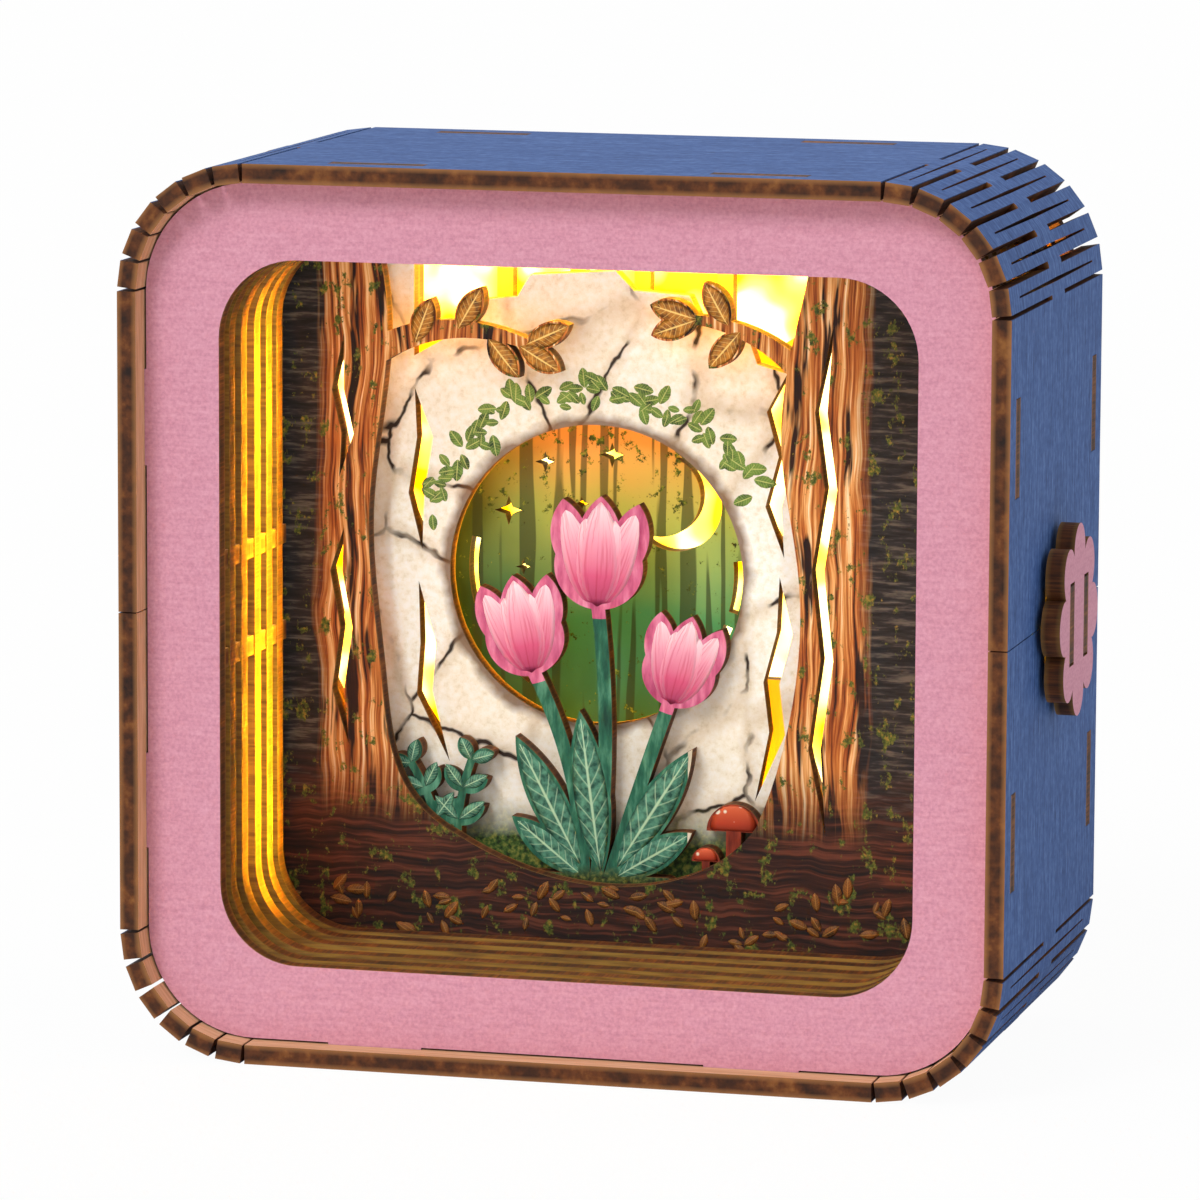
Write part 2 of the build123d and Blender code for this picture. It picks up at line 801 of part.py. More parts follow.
def battery_tray():
    """A tray with two round wells, open to the back."""
    outline = Pos(0, -tray_drop) * RectangleRounded(tray_width(), tray_height(), tray_corner)
    tray = sheet(outline, tray_y, tray_depth)
    for x, z in cell_places():
        well = Pos(x, z) * Circle(cell_diameter / 2 + cell_play)
        tray = tray - sheet(well, tray_y + tray_floor, tray_depth)
    return tray


def coin_cells():
    """Two coin cells."""
    cells = []
    for x, z in cell_places():
        cells.append(sheet(Pos(x, z) * Circle(cell_diameter / 2), tray_y + tray_floor, cell_thickness))
    return group(cells)


def cell_contacts():
    """A spring strip across the back of each cell."""
    length = cell_diameter - 2 * cell_play
    front = tray_y + tray_floor + cell_thickness
    strips = []
    for x, z in cell_places():
        strips.append(sheet(Pos(x, z) * Rectangle(length, contact_width), front, contact_thickness))
    return group(strips)


def solder_lugs():
    """A lug on each end of the tray, where the leads are soldered."""
    lugs = []
    for side in (1, -1):
        outer = side * (tray_width() / 2 + lug_size / 2)
        outline = Pos(outer, -tray_drop) * Rectangle(lug_size, lug_size)
        lugs.append(sheet(outline, tray_y + tray_floor, lug_thickness))
    return group(lugs)


# Slide switch


def switch_housing():
    """The switch's can behind the back panel, with the slot in which the slider runs."""
    can = block(
        centred(slider_path_middle(), switch_width),
        (back_panel_y - switch_thickness, back_panel_y),
        centred(-tray_drop, switch_height),
    )
    slot = block(
        centred(slider_path_middle(), slider_slot_length()),
        (back_panel_y - slider_seat, back_panel_y + over),
        centred(-tray_drop, slider_height + 2 * slider_play),
    )
    return can - slot


def switch_slider():
    """The slider, with two grooves across its end for a fingernail."""
    end = back_panel_y + ply + slider_proud
    stem = block(
        centred(slider_path_middle() + switch_travel / 2, slider_width),
        (back_panel_y - slider_seat + slider_play, end),
        centred(-tray_drop, slider_height),
    )
    for shift in (-slider_width / 5, slider_width / 5):
        groove = block(
            centred(slider_path_middle() + switch_travel / 2 + shift, slider_groove),
            (end - slider_groove, end + over),
            centred(-tray_drop, slider_height + 2 * over),
        )
        stem = stem - groove
    return stem


def switch_pins():
    """Three pins on the front of the switch's can."""
    pins = []
    end = back_panel_y - switch_thickness
    for step in (-1, 0, 1):
        middle = slider_path_middle() + step * pin_pitch
        pins.append(
            block(centred(middle, pin_thickness), (end - pin_length, end), centred(-tray_drop, pin_width))
        )
    return group(pins)


# Light tapes


def chip_count(length):
    """How many lights fit on a tape."""
    return max(1, int((length - chip_length) // chip_pitch) + 1)


def tape(middle, length, upright, board_y):
    """A tape stuck to the front of a board at Y = board_y, and the lights on it."""
    wide, high = (tape_width, length) if upright else (length, tape_width)
    strip = sheet(Pos(*middle) * Rectangle(wide, high), board_y - tape_thickness, tape_thickness)
    chips = []
    count = chip_count(length)
    for step in range(count):
        shift = (step - (count - 1) / 2) * chip_pitch
        place = (middle[0], middle[1] + shift) if upright else (middle[0] + shift, middle[1])
        chip = Rectangle(chip_width, chip_length) if upright else Rectangle(chip_length, chip_width)
        chips.append(sheet(Pos(*place) * chip, board_y - tape_thickness - chip_thickness, chip_thickness))
    return strip, chips


def side_tape_places():
    """The middles of the four tapes beside the scene, above and below the side combs."""
    return [(side * tape_middle, level * side_tape_rise) for side in (1, -1) for level in (1, -1)]


def tape_set(places, board_y):
    """The tapes at the given places, and all their lights, as two groups."""
    strips = []
    chips = []
    for middle, length, upright in places:
        strip, lights = tape(middle, length, upright, board_y)
        strips.append(strip)
        chips.extend(lights)
    return group(strips), group(chips)


def front_tapes():
    """Tapes on the third ring, hidden behind the border of the second."""
    return tape_set([(middle, side_tape_length, True) for middle in side_tape_places()], ring_c_y)


def scene_tapes():
    """Tapes on the backdrop, behind the garden wall's border, on all four sides."""
    places = [(middle, side_tape_length, True) for middle in side_tape_places()]
    for level in (1, -1):
        places.append(((0, level * tape_middle_up), cross_tape_length, False))
    return tape_set(places, backdrop_y)


def back_tapes():
    """Two tapes on the back panel that light the cut-outs of the backdrop."""
    places = [((side * back_tape_spread, back_tape_rise), back_tape_length, True) for side in (1, -1)]
    return tape_set(places, back_panel_y)


def diffuser_outline():
    """A rectangle between the side combs, cut away from below round the battery tray."""
    width = 2 * (half_window + comb_setback - diffuser_air)
    outline = Pos(0, (diffuser_top - diffuser_foot) / 2) * Rectangle(width, diffuser_top + diffuser_foot)
    cut_width = tray_width() + 2 * diffuser_tray_air
    cut_height = diffuser_foot - tray_drop + tray_height() / 2 + diffuser_tray_air
    return outline - Pos(0, -diffuser_foot) * Rectangle(cut_width, 2 * cut_height)


def light_diffuser():
    """A thin milky sheet on the back of the backdrop."""
    return sheet(diffuser_outline(), backdrop_y + ply, diffuser_thickness)


# Leads


def lead(points):
    """A thin wire along straight runs joined by arcs, with Z counted from the middle of the case."""
    route = [Vector(x, y, z + half_height) for x, y, z in points]
    path = FilletPolyline(*route, radius=lead_bend)
    section = Plane(origin=path @ 0, z_dir=path % 0) * RegularPolygon(lead_diameter / 2, lead_sides)
    return sweep(section, path=path)


def lead_y():
    """Leads lie on the inside of the back panel."""
    return back_panel_y - lead_diameter / 2 - lead_air


def feed_lead(side):
    """From the top of a back tape through the boards to the tape on the third ring."""
    front_y = ring_c_y - lead_diameter / 2 - lead_air
    start = lead_rise - lead_corner + lead_air
    return lead(
        [
            (side * tape_middle, front_y, start),
            (side * tape_middle, front_y, lead_rise),
            (side * tape_middle, lead_y(), lead_rise),
            (side * (back_tape_spread - tape_width / 2), lead_y(), lead_rise),
        ]
    )


def lug_lead_y():
    """The middle of a lead that lies on a solder lug."""
    return tray_y + tray_floor + lug_thickness + lead_air + lead_diameter / 2


def tape_foot():
    """The height at which a lead meets the lower end of a back tape."""
    return back_tape_rise - back_tape_length / 2 - lead_air


def tray_light_lead():
    """From the tray's left lug up to the left back tape."""
    x = -(tray_width() + lug_size) / 2
    turn = tape_foot() - lead_turn_drop
    return lead(
        [
            (x, lug_lead_y(), -tray_drop),
            (x, lug_lead_y(), turn),
            (-back_tape_spread, lead_y(), turn),
            (-back_tape_spread, lead_y(), tape_foot()),
        ]
    )


def tray_switch_lead():
    """From the tray's right lug to the nearest pin of the switch, with a little slack."""
    start = (tray_width() + lug_size) / 2
    end = slider_path_middle() - pin_pitch - (pin_thickness + lead_diameter) / 2
    return lead(
        [
            (start, lug_lead_y(), -tray_drop),
            (start + lead_slack, lug_lead_y(), -tray_drop - lead_slack),
            (end - lead_slack, lug_lead_y(), -tray_drop - lead_slack),
            (end, lug_lead_y(), -tray_drop),
        ]
    )


def switch_light_lead():
    """From the far pin of the switch up to the right back tape."""
    x = slider_path_middle() + pin_pitch + pin_thickness / 2 + lead_air + lead_diameter / 2
    turn = tape_foot() - lead_turn_drop
    return lead(
        [
            (x, lug_lead_y(), -tray_drop),
            (x, lug_lead_y(), turn - lead_slack),
            (back_tape_spread, lead_y(), turn),
            (back_tape_spread, lead_y(), tape_foot()),
        ]
    )


def build():
    """Every node of the box, by name."""
    upper = upper_half()
    front_strips, front_chips = front_tapes()
    scene_strips, scene_chips = scene_tapes()
    back_strips, back_chips = back_tapes()
    nodes = {
        "upper_shell": upper,
        "lower_shell": mirror(upper, about=Plane.XY.offset(half_height)),
        "front_panel": front_panel(),
        "ring_frame_a": ring(ring_a_y, False),
        "ring_frame_b": ring(ring_b_y, False),
        "ring_frame_c": ring(ring_c_y, True),
        "ring_frame_d": sheet(eared(layer_board() - window()) - lead_holes(), ring_d_y),
        "ring_frame_e": ring(ring_e_y, True),
        "trunks_layer": trunks_layer(),
        "garden_wall": garden_wall(),
        "backdrop": backdrop(),
        "tulip_cluster": tulip_cluster(),
        "toadstool_group": toadstool_group(),
        "fern_group": fern_group(),
        "flower_lock": flower_lock(),
        "back_panel": back_panel(),
        "door_ledge": door_ledge(),
        "battery_door": battery_door(),
        "ledge_magnets": group(discs(magnet_diameter, back_panel_y - magnet_thickness, magnet_thickness)),
        "door_magnets": group(discs(magnet_diameter, back_panel_y + door_lift, magnet_thickness)),
        "battery_tray": battery_tray(),
        "coin_cells": coin_cells(),
        "cell_contacts": cell_contacts(),
        "solder_lugs": solder_lugs(),
        "switch_housing": switch_housing(),
        "switch_slider": switch_slider(),
        "switch_pins": switch_pins(),
        "front_light_tapes": front_strips,
        "front_light_chips": front_chips,
        "scene_light_tapes": scene_strips,
        "scene_light_chips": scene_chips,
        "back_light_tapes": back_strips,
        "back_light_chips": back_chips,
        "light_diffuser": light_diffuser(),
        "tray_light_lead": tray_light_lead(),
        "tray_switch_lead": tray_switch_lead(),
        "switch_light_lead": switch_light_lead(),
    }
    for side, side_name in ((1, "right"), (-1, "left")):
        for level, level_name in ((1, "upper"), (-1, "lower")):
            nodes[f"{side_name}_comb_{level_name}"] = side_comb(side, level)
            end_name = "roof" if level > 0 else "floor"
            nodes[f"{end_name}_comb_{side_name}"] = end_comb(side, level)
        nodes[f"feed_lead_{side_name}"] = feed_lead(side)
    return nodes


os.makedirs("parts", exist_ok=True)
for name, shape in build().items():
    export_step(shape, f"parts/{name}.step")
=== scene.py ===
# %% [markdown]
# A small box of laser-cut plywood stands on a table and glows from inside. This file dresses it: the
# boards already exist at their real size and place, and we add the print, the burnt edges, the painted
# plants and the light. Read it from top to bottom, one cell at a time.

# %% Load the boards
import math

import bmesh
import bpy
from mathutils import Matrix, Vector


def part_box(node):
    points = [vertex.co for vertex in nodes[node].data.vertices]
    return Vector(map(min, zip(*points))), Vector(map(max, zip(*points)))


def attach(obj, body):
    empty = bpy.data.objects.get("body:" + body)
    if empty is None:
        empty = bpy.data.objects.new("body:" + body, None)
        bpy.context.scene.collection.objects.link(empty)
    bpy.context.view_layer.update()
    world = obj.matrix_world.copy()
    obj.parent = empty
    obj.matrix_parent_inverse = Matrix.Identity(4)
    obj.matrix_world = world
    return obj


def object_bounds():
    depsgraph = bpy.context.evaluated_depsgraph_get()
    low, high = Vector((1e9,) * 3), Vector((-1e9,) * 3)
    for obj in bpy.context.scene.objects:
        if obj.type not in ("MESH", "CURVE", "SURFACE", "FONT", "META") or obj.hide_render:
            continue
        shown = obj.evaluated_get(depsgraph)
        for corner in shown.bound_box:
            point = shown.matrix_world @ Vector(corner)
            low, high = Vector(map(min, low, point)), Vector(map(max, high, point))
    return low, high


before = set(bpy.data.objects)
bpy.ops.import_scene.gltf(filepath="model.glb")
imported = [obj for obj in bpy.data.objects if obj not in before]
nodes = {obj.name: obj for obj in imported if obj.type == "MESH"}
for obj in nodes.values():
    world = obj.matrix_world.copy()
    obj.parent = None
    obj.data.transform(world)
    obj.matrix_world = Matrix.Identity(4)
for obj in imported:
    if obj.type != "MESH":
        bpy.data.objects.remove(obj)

cad_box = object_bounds()
MM = 0.001
HALF_HEIGHT = (cad_box[1][2] - cad_box[0][2]) / 2 / MM
print("boards and parts:", len(nodes), "half height in mm:", round(HALF_HEIGHT, 1))

# %% [markdown]
# Colours are picked as a screen shows them, in hex. Blender mixes light, so it wants linear numbers. One
# function turns the first into the second, and every colour in the file goes through it.


# %% Colours
def linear(hex_colour):
    """A screen colour such as #4b679b as linear red, green, blue and alpha."""
    parts = [int(hex_colour[i:i + 2], 16) / 255 for i in (1, 3, 5)]
    return [c / 12.92 if c <= 0.04045 else ((c + 0.055) / 1.055) ** 2.4 for c in parts] + [1.0]


print("print blue as linear light:", [round(c, 3) for c in linear("#4b679b")])

# %% [markdown]
# A material is a small network of nodes. Adding one by hand takes five lines, so one function does it for
# every kind: it sets the node up, links what comes in, and hands back the output that goes on. A colour
# ramp's stops come in the same way, as pairs of a place and a colour.


# %% One function that adds a node
def add_node(tree, kind, inputs=None, out=0, stops=None, **settings):
    """Adds a node with its settings and links, and returns one of its outputs."""
    node = tree.nodes.new(kind)
    for name, value in settings.items():
        setattr(node, name, value)
    for key, value in (inputs or {}).items():
        if isinstance(value, bpy.types.NodeSocket):
            tree.links.new(value, node.inputs[key])
        else:
            node.inputs[key].default_value = value
    if stops:
        colours = node.color_ramp.elements
        while len(colours) < len(stops):
            colours.new(0.5)
        for colour, (place, hex_colour) in zip(colours, stops):
            colour.position = place
            colour.color = linear(hex_colour)
    return node.outputs[out] if node.outputs else node


def new_material(name):
    """A material with an empty network."""
    material = bpy.data.materials.new(name)
    material.use_nodes = True
    material.node_tree.nodes.clear()
    return material, material.node_tree


def dress(material, *names):
    """Puts a material on CAD nodes, in their own slots."""
    for name in names:
        slots = nodes[name].data.materials
        slots.clear()
        slots.append(material)


print("finishes so far:", len(bpy.data.materials))

# %% [markdown]
# Every board is 3 mm plywood, so every pattern is sized in millimetres from the middle of the case. A face
# knows where it is and which way it looks, and that tells print, edge and back apart, so one material can
# serve a whole board. We could also unwrap each board and paint it, but then a resize would tear it.

# %% Reading the place and the face
PLY = 3.0
RIGHT, FRONT, UP = (1, 0, 0), (0, -1, 0), (0, 0, 1)


def place_mm(tree):
    """The place of a point, in millimetres from the middle of the case."""
    place = add_node(tree, "ShaderNodeTexCoord", out="Object")
    scaled = add_node(tree, "ShaderNodeVectorMath", {0: place, 1: (1 / MM,) * 3}, operation="MULTIPLY")
    return add_node(tree, "ShaderNodeVectorMath", {0: scaled, 1: (0, 0, HALF_HEIGHT)}, operation="SUBTRACT")


def reach_along(tree, vector, axis, start=0.0):
    """How far a vector reaches along an axis, counted from a start."""
    reach = add_node(tree, "ShaderNodeVectorMath", {0: vector, 1: axis}, "Value", operation="DOT_PRODUCT")
    return add_node(tree, "ShaderNodeMath", {0: reach, 1: start}, operation="SUBTRACT")


def looks(tree, axis):
    """1 where a face looks along the axis, -1 where it looks the other way."""
    return reach_along(tree, add_node(tree, "ShaderNodeTexCoord", out="Normal"), axis)


print("pattern sizes are in mm, boards are", PLY, "mm")

# %% [markdown]
# Wood and ink are never even. Blots of noise stand for grain when they are long and thin, and for mottling
# when they are round. A printed face is built as a printer would do it, in coats: a ground first, then
# each ink where it belongs. A coat's reach says where that is, as a limit or as a soft border.


# %% Blots, coats and the wooden surface
def blots(tree, place, sizes, detail=3.0, roughness=0.55, out=0):
    """Noise in blots of these lengths in X, Y and Z, in millimetres."""
    scale = [1 / size for size in sizes]
    scaled = add_node(tree, "ShaderNodeVectorMath", {0: place, 1: scale}, operation="MULTIPLY")
    inputs = {"Vector": scaled, "Scale": 1.0, "Detail": detail, "Roughness": roughness}
    return add_node(tree, "ShaderNodeTexNoise", inputs, out)


def mottled(tree, place, sizes, stops, detail=3.0, roughness=0.55):
    """A colour that changes from stop to stop in blots of these lengths, and the noise that makes them."""
    noise = blots(tree, place, sizes, detail, roughness)
    return add_node(tree, "ShaderNodeValToRGB", {0: noise}, stops=stops), noise


def lay_coats(tree, ground, *coats):
    """Lays coats of (value, reach, colour) over a ground. A coat covers what is over its reach, or it
    grows thicker from the first number of its reach to the second, up to the third, which may be left
    out. A fourth word, such as MULTIPLY, says how it mixes."""
    for value, reach, colour, *way in coats:
        if isinstance(reach, tuple):
            low, high, most = (*reach, 1.0)[:3]
            mask = add_node(tree, "ShaderNodeMapRange", {0: value, 1: low, 2: high, 4: most})
        else:
            mask = add_node(tree, "ShaderNodeMath", {0: value, 1: reach}, operation="GREATER_THAN")
        inputs = {0: mask, 6: ground, 7: linear(colour) if isinstance(colour, str) else colour}
        mixing = way[0] if way else "MIX"
        ground = add_node(tree, "ShaderNodeMix", inputs, 2, data_type="RGBA", blend_type=mixing)
    return ground


def show_surface(tree, inputs):
    """Ends a material with a surface of these inputs."""
    shader = add_node(tree, "ShaderNodeBsdfPrincipled", inputs)
    add_node(tree, "ShaderNodeOutputMaterial", {"Surface": shader})


def finish_wood(tree, colour, height, roughness=0.72, relief=0.05):
    """A matt wooden surface of a colour, with relief in millimetres from a height."""
    bump = add_node(tree, "ShaderNodeBump", {"Height": height, "Distance": relief * MM, "Strength": 0.6})
    inputs = {"Base Color": colour, "Roughness": roughness, "Normal": bump, "Specular IOR Level": 0.3}
    show_surface(tree, inputs)


print("blots of 9 mm have a scale of", round(1 / 9, 3))

# %% [markdown]
# A laser burns the edge that it cuts. Close up, the edge is dark brown with lighter streaks through the
# thickness, and it stays paler towards the two faces, where less glue burns. The streaks are blots that
# are short along the edge and long across it.

# %% Burnt edges
STREAK = 0.4  # mm, coarser than the real 0.15 mm, so that it shows in the picture
CORE_PLY = 1.3
CHAR = [(0.34, "#1f0e07"), (0.46, "#44230f"), (0.56, "#643617"), (0.68, "#8a5728")]


def burnt_wood(tree, place, sizes):
    """The colour of a laser-cut edge, its streaks of these lengths."""
    streaks = blots(tree, place, sizes, 4.0)
    patches = blots(tree, place, (7, 7, 7), 2.0)
    tone = add_node(tree, "ShaderNodeMix", {0: 0.45, 2: streaks, 3: patches}, data_type="FLOAT")
    return add_node(tree, "ShaderNodeValToRGB", {0: tone}, stops=CHAR)


def lighten_plies(tree, char, depth, most, tan):
    """Burnt wood that turns tan from the core of a board to its two faces, by the depth below a face."""
    below = add_node(tree, "ShaderNodeMath", {0: depth, 1: PLY / 2}, operation="SUBTRACT")
    from_middle = add_node(tree, "ShaderNodeMath", {0: below}, operation="ABSOLUTE")
    return lay_coats(tree, char, (from_middle, (CORE_PLY / 2, PLY / 2, most), tan))


print("burnt streaks of", STREAK, "mm, core of", CORE_PLY, "mm")

# %% [markdown]
# Bare birch is pale and warm, with soft lengthwise grain. A board material puts it all together: print on
# the face that is printed, bare wood on the back, and burnt wood between them. The material is made once
# for each board, because the depth of its plies is counted from the place of that board.

# %% Birch boards
BIRCH = ("#dcbd93", "#c59a68")
TAN = "#96733f"


def bare_birch(tree, place, sizes, pale, dark):
    """The colour of bare birch with its grain in blots of these lengths, and that grain."""
    return mottled(tree, place, sizes, [(0.35, dark), (0.6, pale)], 5.0, 0.6)


def low_face(board, axis):
    """Where a board starts along an axis, in millimetres from the middle of the case."""
    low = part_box(board)[0][axis.index(1)] / MM
    return low - HALF_HEIGHT if axis == UP else low


def board_material(name, board, face, print_of=None, tan=0.55, bare_tones=BIRCH):
    """A sheet of ply: a printed or bare face, a bare back and burnt edges, lighter towards the faces."""
    material, tree = new_material(name)
    through = tuple(abs(step) for step in face)
    place = place_mm(tree)
    looking = looks(tree, face)
    bare, grain = bare_birch(tree, place, (9, 9, 0.7), *bare_tones)
    printed, relief = print_of(tree, place) if print_of else (bare, grain)
    depth = reach_along(tree, place, through, low_face(board, through))
    char = burnt_wood(tree, place, [STREAK + step * 4 * PLY for step in through])
    edge = lighten_plies(tree, char, depth, tan, TAN)
    finish_wood(tree, lay_coats(tree, bare, (looking, -0.5, edge), (looking, 0.5, printed)), relief)
    return material


print("bare birch goes from", BIRCH[0], "to", BIRCH[1])

# %% [markdown]
# The front panel and the petalled lock carry a flat pink print on birch: matt, even ink with a fine
# mottling where the grain takes it unevenly. Round blots make the ink, and long ones make the pores.

# %% The pink print
PINK = [(0.3, "#c8859a"), (0.5, "#d896aa"), (0.72, "#e3a6b9")]


def pink_print(tree, place):
    """Pink ink with fine mottling."""
    mottle = blots(tree, place, (0.45, 0.45, 0.45), 2.0)
    pores = blots(tree, place, (5, 5, 0.5), 3.0)
    tone = add_node(tree, "ShaderNodeMix", {0: 0.35, 2: mottle, 3: pores}, data_type="FLOAT")
    return add_node(tree, "ShaderNodeValToRGB", {0: tone}, stops=PINK), tone


dress(board_material("pink_printed_birch_ply", "front_panel", FRONT, pink_print), "front_panel")
dress(board_material("pink_printed_birch_ply_lock", "flower_lock", RIGHT, pink_print), "flower_lock")
print("pink print on the front panel and the lock")

# %% [markdown]
# The case is two strips of ply, each bent round two corners. The outside is printed blue, the inside is
# bare, and the long edges and all the small cuts of the bends are burnt. A face's direction can't tell them
# apart on a bend, but depth can: the outside is a rounded square, and what lies 3 mm below it is inside.

# %% How deep a point lies in the case
CORNER = 20.0
STRAIGHT = HALF_HEIGHT - CORNER


def depth_in_case(tree, place):
    """How deep a point lies below the outside of the rounded square case, in millimetres."""
    flat = add_node(tree, "ShaderNodeVectorMath", {0: place, 1: (1, 0, 1)}, operation="MULTIPLY")
    folded = add_node(tree, "ShaderNodeVectorMath", {0: flat}, operation="ABSOLUTE")
    bends = (STRAIGHT, 0, STRAIGHT)
    past = add_node(tree, "ShaderNodeVectorMath", {0: folded, 1: bends}, operation="SUBTRACT")
    clipped = add_node(tree, "ShaderNodeVectorMath", {0: past, 1: (0, 0, 0)}, operation="MAXIMUM")
    radius = add_node(tree, "ShaderNodeVectorMath", {0: clipped}, "Value", operation="LENGTH")
    return add_node(tree, "ShaderNodeMath", {0: CORNER, 1: radius}, operation="SUBTRACT")


print("bends start", STRAIGHT, "mm from the middle of a side")

# %% [markdown]
# Blue ink lets the grain through, and the grain runs round the case, along the strips. The long edges show
# no streaks but soft dark patches between two tan lines.

# %% The blue case
BLUE = [(0.36, "#25447a"), (0.5, "#3a5c99"), (0.64, "#5b7cb6")]
CASE_INSIDE = ("#e3b78f", "#cf9d72")
SKIN = 0.2  # mm below a face that still counts as the face
EDGE_PATCH = 1.84  # mm


def blue_print(tree, place):
    """Blue ink over grain that runs round the case."""
    grain = blots(tree, place, (9, 0.5, 9), 5.0, 0.65)
    mottle = blots(tree, place, (1.2, 1.2, 1.2), 2.0)
    tone = add_node(tree, "ShaderNodeMix", {0: 0.3, 2: grain, 3: mottle}, data_type="FLOAT")
    return add_node(tree, "ShaderNodeValToRGB", {0: tone}, stops=BLUE), tone


def case_material():
    """Bent birch ply: blue outside, bare inside, burnt edges and cuts."""
    material, tree = new_material("blue_printed_birch_ply")
    place = place_mm(tree)
    depth = depth_in_case(tree, place)
    blue, grain = blue_print(tree, place)
    cuts = burnt_wood(tree, place, (STREAK, STREAK + 4 * PLY, STREAK))
    patchy = burnt_wood(tree, place, (EDGE_PATCH, STREAK, EDGE_PATCH))
    edge = lighten_plies(tree, patchy, depth, 0.75, "#a26f42")
    looking = add_node(tree, "ShaderNodeMath", {0: looks(tree, FRONT)}, operation="ABSOLUTE")
    bare = bare_birch(tree, place, (10, 0.8, 10), *CASE_INSIDE)[0]
    walls = lay_coats(tree, cuts, (depth, PLY - SKIN, bare))
    finish_wood(tree, lay_coats(tree, blue, (depth, SKIN, walls), (looking, 0.5, edge)), grain)
    return material


dress(case_material(), "upper_shell", "lower_shell")
print("blue case with a corner radius of", CORNER, "mm")

# %% [markdown]
# The five ring frames, the combs that hold the layers apart, the back panel and the battery door are bare
# ply. The rings are seen by the warm light between them, so their wood is painted a deeper, warmer tone,
# which is painted warm shade, and their burnt edges stay dark between the lit faces.

# %% Bare boards
RINGS = ["ring_frame_" + letter for letter in "abcde"]
# Painted shade: the rings get a darker, warmer copy of bare birch for the warm light they are seen in.
RING_SHADED_TONES = ("#a27c36", "#74542a")
BACK_BOARDS = ["back_panel", "battery_door", "door_ledge"]
COMBS = [name for name in nodes if "_comb_" in name]
for name in RINGS + BACK_BOARDS:
    tones = RING_SHADED_TONES if name in RINGS else BIRCH
    dress(board_material("bare_birch_" + name, name, FRONT, None, 0.2, tones), name)
for name in COMBS:
    face = UP if name.startswith(("left", "right")) else RIGHT
    dress(board_material("bare_birch_" + name, name, face), name)
print("rings and back boards:", len(RINGS + BACK_BOARDS), "combs:", len(COMBS))

# %% [markdown]
# The scene inside is printed on three boards and three small plant pieces. The front board is bark: long
# streaks of brown and orange, dark at the border, with roots low down and moss in patches. The streaks
# are blots, narrow in X and tall in Z, bent by a second, rounder noise until they wander like fibres.

# %% Print on the trunks
SCENE_MIDDLE = -5.0  # mm: the scene is drawn a little to the left, as it is seen past the right border
BARK = [(0.34, "#200d06"), (0.42, "#843c14"), (0.5, "#bc7030"), (0.58, "#e2a866"), (0.68, "#f6dcb4")]
RIDGES = [(0.38, "#08080a"), (0.52, "#1f1e20"), (0.66, "#57524a")]
ROOTS = [(0.35, "#0c0504"), (0.5, "#2e140c"), (0.64, "#5e3020")]
BARK_MOSS = [(0.3, "#1c2409"), (0.5, "#4c5a1c"), (0.7, "#9a7a2c")]


def wander(tree, place, amount, sizes):
    """Moves a place by noise, so that straight patterns wander."""
    shift = blots(tree, place, sizes, 2.0, 0.5, "Color")
    centred = add_node(tree, "ShaderNodeVectorMath", {0: shift, 1: (0.5,) * 3}, operation="SUBTRACT")
    moved = add_node(tree, "ShaderNodeVectorMath", {0: centred, 1: (2 * amount,) * 3}, operation="MULTIPLY")
    return add_node(tree, "ShaderNodeVectorMath", {0: place, 1: moved}, operation="ADD")


def bark_print(tree, place):
    """Wandering bark fibres, dark at the border and low down, with moss in patches."""
    bent = wander(tree, place, 2.2, (11, 11, 22))
    bark, fibres = mottled(tree, bent, (0.75, 4, 34), BARK, 5.0, 0.62)
    furrows = blots(tree, bent, (2.4, 4, 26), 3.0)
    across = reach_along(tree, bent, RIGHT, SCENE_MIDDLE)
    off_middle = add_node(tree, "ShaderNodeMath", {0: across}, operation="ABSOLUTE")
    ridges = mottled(tree, place, (7, 4, 0.9), RIDGES, 4.0, 0.6)[0]
    roots = mottled(tree, bent, (22, 4, 0.8), ROOTS, 5.0)[0]
    patches = blots(tree, place, (3.2, 4, 4.5), 6.0, 0.7)
    moss = mottled(tree, place, (0.7, 4, 0.7), BARK_MOSS)[0]
    coats = [(furrows, (0.56, 0.62), "#2a130a", "MULTIPLY"), (off_middle, (43, 45.5), ridges)]
    coats += [(reach_along(tree, bent, UP), (-26, -38), roots), (patches, (0.56, 0.6), moss)]
    return lay_coats(tree, bark, *coats), fibres


print("bark is drawn round", SCENE_MIDDLE, "mm")

# %% [markdown]
# The wall is pale stone, cracked into large pieces. Voronoi cells give the pieces, each a little warmer or
# cooler, and the distance to their borders gives the cracks. Near the burnt rim of the gate it is stained.

# %% Print on the garden wall
GATE = (-6.0, 2.0)  # X and Z of its middle
GATE_RADIUS = 24.0
PIECE_WIDE, PIECE_HIGH = 19, 25  # mm
STONE = [(0.3, "#e9dfc8"), (0.46, "#faf4e6"), (0.62, "#fffdf8")]
WALL_MOSS = [(0.35, "#1c2a10"), (0.5, "#3f5a22"), (0.68, "#86863a")]


def far_from(tree, place, x, z):
    """The distance from a point of a board's face, in millimetres."""
    offset = add_node(tree, "ShaderNodeVectorMath", {0: place, 1: (x, 0, z)}, operation="SUBTRACT")
    flat = add_node(tree, "ShaderNodeVectorMath", {0: offset, 1: (1, 0, 1)}, operation="MULTIPLY")
    return add_node(tree, "ShaderNodeVectorMath", {0: flat}, "Value", operation="LENGTH")


